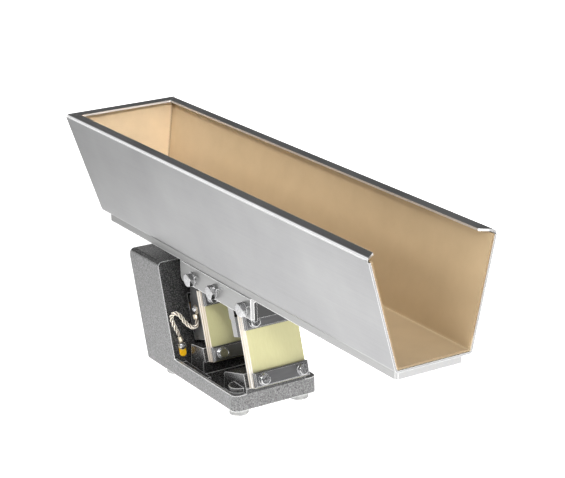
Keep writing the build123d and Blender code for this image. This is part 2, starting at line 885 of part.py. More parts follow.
def make_coil():
    """Taped winding round the middle pole."""
    hole_y = core_leg + coil_gap
    hole_x = core_stack / 2 + coil_gap
    outer_y = core_leg + core_window - coil_gap
    outer_x = core_stack / 2 + coil_build_out
    low = coil_back_along
    coil = block((-outer_x, -outer_y, low), (outer_x, outer_y, low + coil_depth))
    coil = fillet(coil.edges().filter_by(Axis.Z), 5.0)
    coil = chamfer(coil.edges().group_by(Axis.Z)[-1], 1.5)
    coil -= block((-hole_x, -hole_y, low - 1), (hole_x, hole_y, low + coil_depth + 1))
    return drive_plane(rear_pack_x) * Pos(0, magnet_up, 0) * coil


def make_core_brackets():
    """Two cranked brackets that hold the core behind the column's front wall."""
    back = core_face_along - core_depth
    shelf = back + core_yoke
    front = column_front_along - column_wall
    inner = core_stack / 2
    wall_y = core_bracket_out
    t = core_bracket
    points = [
        (inner, back),
        (inner + t, back),
        (inner + t, shelf - t),
        (wall_y + t, shelf - t),
        (wall_y + t, front - t),
        (cavity_half_width - 0.5, front - t),
        (cavity_half_width - 0.5, front),
        (wall_y, front),
        (wall_y, shelf),
        (inner, shelf),
    ]
    brackets = []
    half = core_bracket_height / 2
    for side in (-1, 1):
        outline = Polyline(*[(side * y, magnet_up - half, z) for y, z in points], close=True)
        piece = extrude(make_face(outline), amount=core_bracket_height, dir=(0, 1, 0))
        for up in core_bolt_ups():
            hole = Rot(0, 90, 0) * Cylinder(core_bolt_radius + 0.2, 2 * (inner + t) + 2)
            piece -= Pos(0, magnet_up + up, back + core_bolt_inset) * hole
        for y, up in core_foot_spots():
            piece -= Pos(y, up, front) * pin(cover_screw_radius + 0.2, -t - 1, 1)
        brackets.append(drive_plane(rear_pack_x) * piece)
    return brackets


def make_core_screws():
    """Screws of the core brackets, and the bolts through the core."""
    frame = drive_plane(rear_pack_x)
    front = column_front_along - column_wall - core_bracket
    small = Rot(180, 0, 0) * pan_screw(
        cover_screw_radius, cover_screw_head_radius, cover_screw_head, core_bracket + 4
    )
    pieces = [frame * Pos(y, up, front) * small for y, up in core_foot_spots()]
    reach = core_stack / 2 + core_bracket
    for up in core_bolt_ups():
        bolt = Rot(0, 90, 0) * Cylinder(core_bolt_radius, 2 * reach)
        for side in (-1, 1):
            head = Rot(0, 90, 0) * Cylinder(core_bolt_head_radius, core_bolt_head)
            bolt += Pos(side * (reach + core_bolt_head / 2), 0, 0) * head
        middle = core_face_along - core_depth + core_bolt_inset
        pieces.append(frame * Pos(0, magnet_up + up, middle) * bolt)
    return pieces


def foot_spots():
    """Centres of the four feet."""
    return [(x, s * foot_y) for x in (foot_front_x, foot_rear_x) for s in (-1, 1)]


def make_feet():
    """Rubber feet with a sunk screw seat."""
    cup = Cone(foot_top_radius, foot_radius, base_bottom_z)
    cup = Pos(0, 0, base_bottom_z / 2) * cup
    cup = chamfer(cup.edges().group_by(Axis.Z)[0], 0.8)
    cup -= pin(foot_screw_head_radius + 0.5, -1, foot_screw_recess)
    cup -= pin(foot_screw_radius + 0.2, -1, base_bottom_z + 1)
    return [Pos(x, y, 0) * cup for x, y in foot_spots()]


def make_foot_screws():
    """Screws that hold the feet, entered from below."""
    screw = Rot(180, 0, 0) * pan_screw(
        foot_screw_radius, foot_screw_head_radius, foot_screw_head, foot_screw_length
    )
    return [Pos(x, y, foot_screw_recess) * screw for x, y in foot_spots()]


def make_lug():
    """Ring terminal: the ring lies on z = 0 and its barrel points along +y."""
    ring = pin(lug_ring_radius, 0, lug_thickness) - pin(earth_screw_radius + 0.2, -1, 3)
    neck_end = lug_ring_radius + lug_neck
    neck = block((-2, lug_ring_radius - 1.5, 0), (2, neck_end, lug_thickness))
    barrel = Pos(0, neck_end + lug_barrel_length / 2, lug_barrel_radius)
    barrel = barrel * Rot(90, 0, 0) * Cylinder(lug_barrel_radius, lug_barrel_length)
    return ring + neck + barrel


def lower_lug_frame():
    """The fixed lug lies on the tag, and its barrel points up the column."""
    return earth_spot_lower() * Pos(0, 0, tag_thickness) * Rot(0, 0, lower_lug_turn)


def upper_lug_frame():
    """The moving lug lies on the leg's side, and its barrel points down and forward."""
    return earth_spot_upper() * Rot(0, 0, upper_lug_turn)


def make_tag():
    """Plain round-ended tag under the fixed earth screw."""
    tag = block((-tag_width / 2, -tag_length, 0), (tag_width / 2, 0, tag_thickness))
    tag = fillet(tag.edges().filter_by(Axis.Z).group_by(Axis.Y)[0], tag_width / 2 - 0.1)
    tag += pin(tag_width / 2, 0, tag_thickness)
    return earth_spot_lower() * (tag - pin(earth_screw_radius + 0.2, -1, 2))


def make_earth_screws():
    """Cross head screws of the strap, fixed and moving."""
    screw = pan_screw(earth_screw_radius, earth_head_radius, earth_head, earth_screw_length)
    fixed = earth_spot_lower() * Pos(0, 0, tag_thickness + lug_thickness) * screw
    moving = earth_spot_upper() * Pos(0, 0, lug_thickness) * screw
    return fixed, moving


def lug_mouth(frame, beyond):
    """Point on the axis of a lug's barrel, this far beyond its mouth."""
    reach = lug_ring_radius + lug_neck + lug_barrel_length + beyond
    return (frame * Pos(0, reach, lug_barrel_radius)).position


def strap_route():
    """Corner points of the strap: out of the fixed lug, over a loop, to the moving lug."""
    start = lug_mouth(lower_lug_frame(), 0)
    leave = lug_mouth(lower_lug_frame(), strap_lead_out)
    arrive = lug_mouth(upper_lug_frame(), strap_lead_in)
    end = lug_mouth(upper_lug_frame(), 0)
    up_the_column = [(-4.4, -4.2, 13.3), (-6.7, -5.7, 21.7), (-0.7, -3.7, 27.7), (4.1, 0.3, 24.2)]
    below_the_ring = [(-14.3, -5.9, -7.1), (-5.7, -2.9, -10.6), (0.4, -1.0, -8.4)]
    rise = [start + Vector(*step) for step in up_the_column]
    fall = [end + Vector(*step) for step in below_the_ring]
    return [start, leave] + rise + fall + [arrive, end]


def arc_radii(points):
    """Largest arc that each corner's two runs allow."""
    radii = []
    for before, corner, after in zip(points, points[1:], points[2:]):
        turn = radians((corner - before).get_angle(after - corner))
        shorter = min((corner - before).length, (after - corner).length)
        radii.append(0.45 * shorter / tan(turn / 2))
    return radii


def make_strap():
    """Tinned braid, as a round tube along its route."""
    points = strap_route()
    radii = arc_radii(points)
    path = FilletPolyline(*points, radius=radii)
    print("strap radii", [round(r, 1) for r in radii])
    mouth = Plane(origin=path @ 0, z_dir=path % 0)
    tube = sweep(mouth * Circle(strap_radius), path=path)
    print("strap length", round(path.length, 1), "volume check",
          round(tube.volume / (path.length * 3.14159265 * strap_radius ** 2), 4))
    return tube


def save(name, shape):
    """Write one node, as one solid or a group of separate solids."""
    solids = shape if isinstance(shape, (list, tuple)) else shape.solids()
    export_step(Compound(children=[s.solid() for s in solids]), f"parts/{name}.step")


def main():
    """Make and write every node."""
    os.makedirs("parts", exist_ok=True)
    shell = make_trough()
    save("trough_shell", shell)
    save("trough_end_wall", make_end_wall(shell))
    save("trough_liner", make_liner())
    save("end_liner", make_end_liner(shell))
    save("stiffening_plate", make_plate())
    save("tray_bracket", make_bracket())
    save("front_upper_block", make_front_upper_block())
    save("front_seat_bar", make_seat_bar())
    save("rear_upper_block", make_rear_upper_block())
    save("side_bolts", make_side_bolts())
    save("side_washers", make_side_washers())
    for name, face_x in (("front", front_pack_x), ("rear", rear_pack_x)):
        save(f"{name}_leaf_springs", make_leaves(face_x))
        save(f"{name}_upper_clamp_bar", make_clamp_bar(face_x, clamp_bolt_up))
        save(f"{name}_lower_clamp_bar", make_clamp_bar(face_x, -clamp_bolt_up))
        save(f"{name}_upper_shims", make_shims(face_x, clamp_bolt_up))
        save(f"{name}_lower_shims", make_shims(face_x, -clamp_bolt_up))
    save("upper_clamp_bolts", make_clamp_bolts(clamp_bolt_up))
    save("lower_clamp_bolts", make_clamp_bolts(-clamp_bolt_up))
    save("upper_clamp_washers", make_clamp_washers(clamp_bolt_up))
    save("lower_clamp_washers", make_clamp_washers(-clamp_bolt_up))
    save("base_casting", make_base_casting())
    save("rear_cover", make_rear_cover())
    save("cover_screws", make_cover_screws())
    save("gland_body", make_gland_body())
    save("gland_cap", make_gland_cap())
    save("gland_locknut", make_gland_locknut())
    save("magnet_core", make_core())
    save("magnet_coil", make_coil())
    save("core_brackets", make_core_brackets())
    save("core_screws", make_core_screws())
    save("armature", make_armature())
    save("armature_screws", make_armature_screws())
    save("rubber_feet", make_feet())
    save("foot_screws", make_foot_screws())
    save("earth_tag", make_tag())
    fixed, moving = make_earth_screws()
    save("fixed_earth_screw", fixed)
    save("moving_earth_screw", moving)
    save("fixed_earth_lug", lower_lug_frame() * make_lug())
    save("moving_earth_lug", upper_lug_frame() * make_lug())
    save("earth_strap", make_strap())


main()
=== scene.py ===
import json
import math

import bmesh
import bpy
from mathutils import Matrix, Vector

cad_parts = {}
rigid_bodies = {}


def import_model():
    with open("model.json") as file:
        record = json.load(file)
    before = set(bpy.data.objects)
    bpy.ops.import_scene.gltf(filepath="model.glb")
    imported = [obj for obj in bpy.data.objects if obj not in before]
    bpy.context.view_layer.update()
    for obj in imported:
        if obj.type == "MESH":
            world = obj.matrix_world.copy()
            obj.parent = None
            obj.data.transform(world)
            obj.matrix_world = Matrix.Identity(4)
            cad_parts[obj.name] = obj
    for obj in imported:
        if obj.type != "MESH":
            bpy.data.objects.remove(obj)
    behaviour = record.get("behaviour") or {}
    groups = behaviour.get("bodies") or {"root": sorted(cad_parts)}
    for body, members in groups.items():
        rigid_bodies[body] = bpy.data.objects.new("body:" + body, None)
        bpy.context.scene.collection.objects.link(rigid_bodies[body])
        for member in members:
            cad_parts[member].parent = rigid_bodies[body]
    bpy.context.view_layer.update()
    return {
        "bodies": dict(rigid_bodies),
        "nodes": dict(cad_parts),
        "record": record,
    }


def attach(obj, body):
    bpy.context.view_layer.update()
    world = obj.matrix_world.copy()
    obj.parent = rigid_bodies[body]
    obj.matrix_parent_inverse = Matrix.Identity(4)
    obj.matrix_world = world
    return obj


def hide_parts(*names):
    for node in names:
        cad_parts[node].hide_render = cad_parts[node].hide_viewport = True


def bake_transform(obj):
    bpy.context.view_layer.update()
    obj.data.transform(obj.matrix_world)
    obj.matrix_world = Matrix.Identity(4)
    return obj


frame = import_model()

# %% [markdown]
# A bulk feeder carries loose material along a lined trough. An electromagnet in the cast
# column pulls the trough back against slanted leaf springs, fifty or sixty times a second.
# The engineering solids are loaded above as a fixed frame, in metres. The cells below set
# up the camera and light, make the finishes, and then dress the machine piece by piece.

MM = 0.001
NODES = frame["nodes"]

# %% [markdown]
# The photograph looks down the trough from its discharge end, on the right, with a long
# lens. Azimuth, elevation and roll turn the view, and the camera stands far back so that
# parallel edges stay nearly parallel. Its place and turn are set as one matrix. The first
# helper makes an object of any kind, and every later cell uses it.

# %% Camera
PHOTO_WIDTH = 565
FOCAL_PIXELS = 1842.4
SENSOR_MM = 36.0
AZIMUTH, ELEVATION, ROLL = (math.radians(a) for a in (59.35, 18.39, -1.65))
STAND_POINT = Vector((1.4850, -0.8530, 0.7413))


def new_object(name, data):
    """Make an object and add it to the scene."""
    made = bpy.data.objects.new(name, data)
    bpy.context.scene.collection.objects.link(made)
    return made


def camera_turn(azimuth, elevation, roll):
    """Rotation whose columns point right, up and back for a camera at these angles."""
    back = Vector((
        math.sin(azimuth) * math.cos(elevation),
        -math.cos(azimuth) * math.cos(elevation),
        math.sin(elevation),
    ))
    level = Vector((math.cos(azimuth), math.sin(azimuth), 0))
    rise = back.cross(level)
    right = level * math.cos(roll) + rise * math.sin(roll)
    up = rise * math.cos(roll) - level * math.sin(roll)
    return Matrix((right, up, back)).transposed()


camera_data = bpy.data.cameras.new("photo_camera")
camera_data.sensor_width = SENSOR_MM
camera_data.lens = FOCAL_PIXELS * SENSOR_MM / PHOTO_WIDTH
camera_data.clip_end = 20.0
camera = new_object("photo_camera", camera_data)
turn = camera_turn(AZIMUTH, ELEVATION, ROLL)
camera.matrix_world = Matrix.Translation(STAND_POINT) @ turn.to_4x4()
bpy.context.scene.camera = camera
print("lens", round(camera_data.lens, 1), "mm")

# %% [markdown]
# A product picture needs a pale floor and large soft lights. A big light overhead fills the
# picture, and a wide one at the discharge end lights every face that looks forward. A light
# on the near side comes in just over the near wall, so that the upper half of the far wall
# glows and the lower half stays in shade, and a narrow one reaches the closed end. The sky
# has a dark band above the horizon, because flat steel flanges and glossy paint mirror that
# part of the studio: without something dark there, metal looks like chalk. The plain
# Standard view keeps white paper white.

# %% Floor, lights and sky
FLOOR_SIZE = 14.0
# name, place, target, size, watts, spread in degrees
LIGHTS = (
    ("overhead_light", (-0.30, -0.25, 1.9), (-0.15, 0.0, 0.2), 1.2, 8.0, 180),
    ("forward_light", (2.6, -0.15, 0.3), (-0.2, 0.0, 0.15), 0.8, 20.0, 180),
    ("over_wall_light", (-0.10, -1.80, 1.05), (0.0, 0.0, 0.20), 0.4, 0.45, 40),
    ("inside_light", (1.70, -0.90, 1.5), (-0.36, 0.03, 0.19), 0.35, 0.75, 20),
)
# height on the sky's ramp, grey
SKY_BANDS = (
    (0.00, 0.90), (0.05, 0.80), (0.12, 0.08), (0.44, 0.08), (0.50, 1.20), (0.60, 1.20),
    (0.70, 0.80), (1.00, 0.80),
)
SKY_STRENGTH = 0.75


def look_at(place, target):
    """Turn that points an object's -Z axis from one place at another."""
    return (Vector(target) - Vector(place)).to_track_quat("-Z", "Y").to_euler()


for name, place, target, size, power, spread_degrees in LIGHTS:
    light_data = bpy.data.lights.new(name, "AREA")
    light_data.size = size
    light_data.energy = power
    light_data.spread = math.radians(spread_degrees)
    light = new_object(name, light_data)
    light.location = place
    light.rotation_euler = look_at(place, target)

floor_mesh = bpy.data.meshes.new("studio_floor")
half = FLOOR_SIZE / 2
floor_mesh.from_pydata(
    [(-half, -half, 0), (half, -half, 0), (half, half, 0), (-half, half, 0)], [], [(0, 1, 2, 3)]
)
studio_floor = new_object("studio_floor", floor_mesh)

world = bpy.data.worlds.new("studio_sky")
bpy.context.scene.world = world
world.use_nodes = True
sky = world.node_tree
sky_coordinates = sky.nodes.new("ShaderNodeTexCoord")
sky_height = sky.nodes.new("ShaderNodeSeparateXYZ")
sky_ramp = sky.nodes.new("ShaderNodeValToRGB")
bands = sky_ramp.color_ramp.elements
while len(bands) < len(SKY_BANDS):
    bands.new(0.5)
for band, (position, tone) in zip(bands, SKY_BANDS):
    band.position = position
    band.color = (tone, tone, tone, 1)
sky.links.new(sky_coordinates.outputs["Generated"], sky_height.inputs[0])
sky.links.new(sky_height.outputs["Z"], sky_ramp.inputs[0])
sky.links.new(sky_ramp.outputs[0], sky.nodes["Background"].inputs["Color"])
sky.nodes["Background"].inputs["Strength"].default_value = SKY_STRENGTH
bpy.context.scene.view_settings.view_transform = "Standard"
print("lights", len(LIGHTS))

# %% [markdown]
# Every finish below is made from a few shared effects. Each effect is a node group with
# named inputs, so that the same grain or dust is placed in many materials, each time with
# its own values. These helpers keep the node code short and readable.

# %% Helpers for node trees
LEAN = math.radians(16)
FLOAT = "NodeSocketFloat"
VECTOR = "NodeSocketVector"


def put(tree, kind, **settings):
    """Add one node and set its plain properties."""
    node = tree.nodes.new(kind)
    for key, value in settings.items():
        setattr(node, key, value)
    return node


def wire(tree, source, target):
    """Join an output to an input; a plain value is written on the input instead."""
    if isinstance(source, bpy.types.NodeSocket):
        tree.links.new(source, target)
    else:
        target.default_value = source


def math_node(tree, operation, *values, clamp=False):
    """A math node fed with sockets or numbers; returns its output."""
    node = put(tree, "ShaderNodeMath", operation=operation, use_clamp=clamp)
    for value, target in zip(values, node.inputs):
        wire(tree, value, target)
    return node.outputs[0]


def blend_colours(tree, share, first, second):
    """Mix two colours by a share; returns the colour."""
    node = put(tree, "ShaderNodeMix", data_type="RGBA")
    wire(tree, share, node.inputs[0])
    wire(tree, first, node.inputs[6])
    wire(tree, second, node.inputs[7])
    return node.outputs[2]


def spread(tree, value, low, high, to_low, to_high):
    """Map a value from one range to another."""
    node = put(tree, "ShaderNodeMapRange")
    for item, target in zip((value, low, high, to_low, to_high), node.inputs):
        wire(tree, item, target)
    return node.outputs[0]


def effect_group(name, inputs, outputs):
    """Start a node group; inputs are (name, kind, value) and outputs (name, kind)."""
    tree = bpy.data.node_groups.new(name, "ShaderNodeTree")
    for label, kind, value in inputs:
        socket = tree.interface.new_socket(label, in_out="INPUT", socket_type=kind)
        socket.default_value = value
    for label, kind in outputs:
        tree.interface.new_socket(label, in_out="OUTPUT", socket_type=kind)
    return tree, put(tree, "NodeGroupInput").outputs, put(tree, "NodeGroupOutput").inputs


def scaled_place(tree, scale):
    """Object coordinates times one number."""
    node = put(tree, "ShaderNodeVectorMath", operation="SCALE")
    wire(tree, put(tree, "ShaderNodeTexCoord").outputs["Object"], node.inputs[0])
    wire(tree, scale, node.inputs["Scale"])
    return node.outputs[0]


# %% [markdown]
# Four effects serve the whole machine. Grain is noise pulled out along one axis, as the
# rolling mill leaves it, and it can be turned to follow the leaning springs. Cloud is a
# slow change of tone, such as handling marks. Cells are the small domes of hammertone
# paint and cast skin. Edge is a mask of the corners, which the finishes use for wear and
# for a painted highlight: it compares the true normal with one that a Bevel node has softened.

# %% Shared effects
NOISE_LOW, NOISE_HIGH = 0.3, 0.7
SPECK_LOW, SPECK_HIGH, SPECK_GAIN = 0.35, 0.65, 1.6


def noise(tree, vector, detail=3.0, roughness=0.55):
    """Noise at the scale of the given vector."""
    node = put(tree, "ShaderNodeTexNoise")
    wire(tree, vector, node.inputs["Vector"])
    node.inputs["Scale"].default_value = 1.0
    node.inputs["Detail"].default_value = detail
    node.inputs["Roughness"].default_value = roughness
    return node.outputs[0]


grain_tree, grain_in, grain_out = effect_group(
    "grain",
    [("Scales", VECTOR, (40, 3000, 3000)), ("Turn", FLOAT, 0.0), ("Contrast", FLOAT, 1.0)],
    [("Tone", FLOAT)],
)
grain_turn = put(grain_tree, "ShaderNodeVectorRotate", rotation_type="Y_AXIS")
wire(grain_tree, put(grain_tree, "ShaderNodeTexCoord").outputs["Object"], grain_turn.inputs[0])
wire(grain_tree, grain_in["Turn"], grain_turn.inputs["Angle"])
grain_pull = put(grain_tree, "ShaderNodeVectorMath", operation="MULTIPLY")
wire(grain_tree, grain_turn.outputs[0], grain_pull.inputs[0])
wire(grain_tree, grain_in["Scales"], grain_pull.inputs[1])
grain_swing = math_node(grain_tree, "SUBTRACT", noise(grain_tree, grain_pull.outputs[0], 4.0), 0.5)
grain_scaled = math_node(grain_tree, "MULTIPLY", grain_swing, grain_in["Contrast"])
wire(grain_tree, math_node(grain_tree, "ADD", grain_scaled, 0.5, clamp=True), grain_out["Tone"])

cloud_tree, cloud_in, cloud_out = effect_group(
    "cloud", [("Scale", FLOAT, 20.0), ("Low", FLOAT, 0.0), ("High", FLOAT, 1.0)], [("Tone", FLOAT)]
)
cloud_noise = noise(cloud_tree, scaled_place(cloud_tree, cloud_in["Scale"]), 5.0)
cloud_spread = spread(
    cloud_tree, cloud_noise, NOISE_LOW, NOISE_HIGH, cloud_in["Low"], cloud_in["High"]
)
wire(cloud_tree, cloud_spread, cloud_out["Tone"])

cells_tree, cells_in, cells_out = effect_group(
    "cells", [("Scale", FLOAT, 600.0)], [("Height", FLOAT), ("Tone", FLOAT)]
)
cells_place = scaled_place(cells_tree, cells_in["Scale"])
cells_warp = put(cells_tree, "ShaderNodeTexVoronoi", feature="SMOOTH_F1")
cells_warp.inputs["Scale"].default_value = 1.0
wire(cells_tree, cells_place, cells_warp.inputs["Vector"])
cells_height = math_node(cells_tree, "SUBTRACT", 1.0, cells_warp.outputs["Distance"])
wire(cells_tree, cells_height, cells_out["Height"])
cells_fine = noise(cells_tree, cells_place, 4.0, 0.7)
cells_speck = spread(cells_tree, cells_fine, SPECK_LOW, SPECK_HIGH, 0.0, 1.0)
cells_mix = math_node(cells_tree, "MULTIPLY", cells_height, cells_speck)
cells_tone = math_node(cells_tree, "MULTIPLY", cells_mix, SPECK_GAIN, clamp=True)
wire(cells_tree, cells_tone, cells_out["Tone"])

edge_tree, edge_in, edge_out = effect_group(
    "edge", [("Width", FLOAT, 0.0006), ("Gain", FLOAT, 7.0)], [("Mask", FLOAT)]
)
edge_round = put(edge_tree, "ShaderNodeBevel", samples=4)
wire(edge_tree, edge_in["Width"], edge_round.inputs["Radius"])
edge_match = put(edge_tree, "ShaderNodeVectorMath", operation="DOT_PRODUCT")
wire(edge_tree, edge_round.outputs[0], edge_match.inputs[0])
wire(edge_tree, put(edge_tree, "ShaderNodeNewGeometry").outputs["Normal"], edge_match.inputs[1])
edge_turn = math_node(edge_tree, "SUBTRACT", 1.0, edge_match.outputs["Value"])
edge_mask = math_node(edge_tree, "MULTIPLY", edge_turn, edge_in["Gain"], clamp=True)
wire(edge_tree, edge_mask, edge_out["Mask"])


def effect(tree, name, **values):
    """Place a shared effect in a material, with its own values."""
    node = put(tree, "ShaderNodeGroup", node_tree=bpy.data.node_groups[name])
    for label, value in values.items():
        wire(tree, value, node.inputs[label.capitalize()])
    return node.outputs


print("shared effects", sorted(g.name for g in bpy.data.node_groups))

# %% [markdown]
# A finish is one Principled shader with a colour that wanders between two tones, a
# roughness that follows the same pattern, and a little height for the light to catch.
# Edge colours are laid over both. A pale one is partly wear, which is paler and duller
# than the face, and partly a painted highlight along the corners.
# Constant values such as metallic are written on the shader's own sockets.

# %% One builder for all finishes
EDGE_ROUGHNESS = 0.55
COAT_ROUGHNESS = 0.12


def grey(value):
    """A colour with three equal parts."""
    return value, value, value


def finish(name, dark, light, tone, rough=(0.3, 0.45), metallic=0.0, height=None,
           bump=0.0, bump_size=0.0002, bright_edge=None, edge_share=0.5, edge_width=0.0006,
           coat=0.0, specular=0.5, soft_edge=0.0, more_edges=None):
    """Material between two colours; tone and height are functions of its node tree."""
    material = bpy.data.materials.new(name)
    material.use_nodes = True
    tree = material.node_tree
    shader = tree.nodes["Principled BSDF"]
    shader.inputs["Metallic"].default_value = metallic
    shader.inputs["Coat Weight"].default_value = coat
    shader.inputs["Coat Roughness"].default_value = COAT_ROUGHNESS
    shader.inputs["Specular IOR Level"].default_value = specular
    share = tone(tree)
    colour = blend_colours(tree, share, (*dark, 1), (*light, 1))
    if bright_edge:
        mask = effect(tree, "edge", width=edge_width)["Mask"]
        mask = math_node(tree, "MULTIPLY", mask, edge_share, clamp=True)
        if more_edges:
            mask = math_node(tree, "MAXIMUM", mask, more_edges(tree))
        colour = blend_colours(tree, mask, colour, (*bright_edge, 1))
    wire(tree, colour, shader.inputs["Base Color"])
    roughness = spread(tree, share, 0.0, 1.0, *rough)
    if bright_edge:
        roughness = spread(tree, mask, 0.0, 1.0, roughness, EDGE_ROUGHNESS)
    wire(tree, roughness, shader.inputs["Roughness"])
    if bump:
        relief = put(tree, "ShaderNodeBump")
        relief.inputs["Strength"].default_value = bump
        relief.inputs["Distance"].default_value = bump_size
        wire(tree, (height or tone)(tree), relief.inputs["Height"])
        if soft_edge:
            rounded = put(tree, "ShaderNodeBevel", samples=6)
            rounded.inputs["Radius"].default_value = soft_edge
            wire(tree, rounded.outputs[0], relief.inputs["Normal"])
        wire(tree, relief.outputs[0], shader.inputs["Normal"])
    return material


# %% [markdown]
# The builder asks for its tone as a function of the node tree, so that each finish grows
# its own nodes. Some tones know which way a face looks or where it lies, and paint shade
# on faces that look forward: object normals and object coordinates stay with the machine
# when it is turned. Masks find where light and shade are painted: a painted highlight on
# the bends of the sheet, on its cut edges and along the floor corners of the liner, and
# painted shade in the narrow corners where one board of the liner meets the next.

# %% Tones and masks
MOUTH_X = 285 * MM
LINER_LOW_Z = 152 * MM
MOUTH_FADE, LINER_FADE = 5 * MM, 6 * MM


def grain_tone(scales, contrast=1.0, turn=0.0):
    """Tone that follows a grain."""
    return lambda tree: effect(tree, "grain", scales=scales, contrast=contrast, turn=turn)["Tone"]


def cloud_tone(scale, low=0.0, high=1.0):
    """Tone that follows slow clouds."""
    return lambda tree: effect(tree, "cloud", scale=scale, low=low, high=high)["Tone"]


def cell_tone(scale, output="Tone"):
    """Tone or height of small cells."""
    return lambda tree: effect(tree, "cells", scale=scale)[output]


def attribute_tone(name):
    """Tone stored on the mesh by the cell that made it."""
    return lambda tree: put(tree, "ShaderNodeAttribute", attribute_name=name).outputs["Fac"]


def satin_tone(tree):
    """Tone of satin sheet: a fine grain along the trough over slow clouds."""
    grain = grain_tone((10, 1500, 1500), 0.8)(tree)
    cloud = cloud_tone(9.0)(tree)
    return spread(tree, math_node(tree, "ADD", grain, cloud), 0.0, 2.0, 0.0, 1.0)


def object_axis(tree, output, axis):
    """One part, X, Y or Z, of the object's coordinates or of its normal."""
    parts = put(tree, "ShaderNodeSeparateXYZ")
    wire(tree, put(tree, "ShaderNodeTexCoord").outputs[output], parts.inputs[0])
    return parts.outputs[axis]


def shade_forward_faces(tone, least):
    """A tone between least and one, with painted shade that drops it to nothing on faces that look
    forward.
    """
    def faded(tree):
        """The tone in one node tree."""
        away = spread(tree, object_axis(tree, "Normal", "X"), 0.5, 0.8, 1.0, 0.0)
        return math_node(tree, "MULTIPLY", away, spread(tree, tone(tree), 0.0, 1.0, least, 1.0))
    return faded


def bend_and_cut_highlight(tree):
    """Mask of painted highlights on the bends and on the cut edges, which do not lean as the sides
    do.
    """
    rise = object_axis(tree, "Normal", "Z")
    not_upright = spread(tree, rise, 0.10, 0.25, 0.0, 1.0)
    not_flat = spread(tree, rise, 0.85, 0.95, 1.0, 0.0)
    bend = math_node(tree, "MULTIPLY", not_upright, not_flat)
    cut = spread(tree, math_node(tree, "ABSOLUTE", rise), 0.03, 0.08, 1.0, 0.0)
    along = object_axis(tree, "Object", "X")
    behind_mouth = spread(tree, along, MOUTH_X, MOUTH_X + MOUTH_FADE, 1.0, 0.0)
    cut = math_node(tree, "MULTIPLY", cut, behind_mouth)
    return math_node(tree, "MAXIMUM", bend, cut)


def inner_corners(tree, reach, end):
    """Ambient occlusion mask of the narrow corners where one board meets the next; it places
    painted shade and a painted highlight.
    """
    shade = put(tree, "ShaderNodeAmbientOcclusion", samples=8)
    shade.inputs["Distance"].default_value = reach
    return spread(tree, shade.outputs["AO"], 0.45, end, 1.0, 0.0)


def floor_corner_highlight(tree):
    """Mask of a painted highlight along the line where the sides of the liner meet its floor."""
    height = object_axis(tree, "Object", "Z")
    low = spread(tree, height, LINER_LOW_Z, LINER_LOW_Z + LINER_FADE, 1.0, 0.0)
    return math_node(tree, "MULTIPLY", inner_corners(tree, 6 * MM, 0.8), low)


def corner_shaded_tone(tree):
    """Slow clouds with painted shade that drops them to nothing in the corners of a board."""
    open_part = math_node(tree, "SUBTRACT", 1.0, inner_corners(tree, 4 * MM, 0.85))
    return math_node(tree, "MULTIPLY", cloud_tone(40.0, 0.85)(tree), open_part)
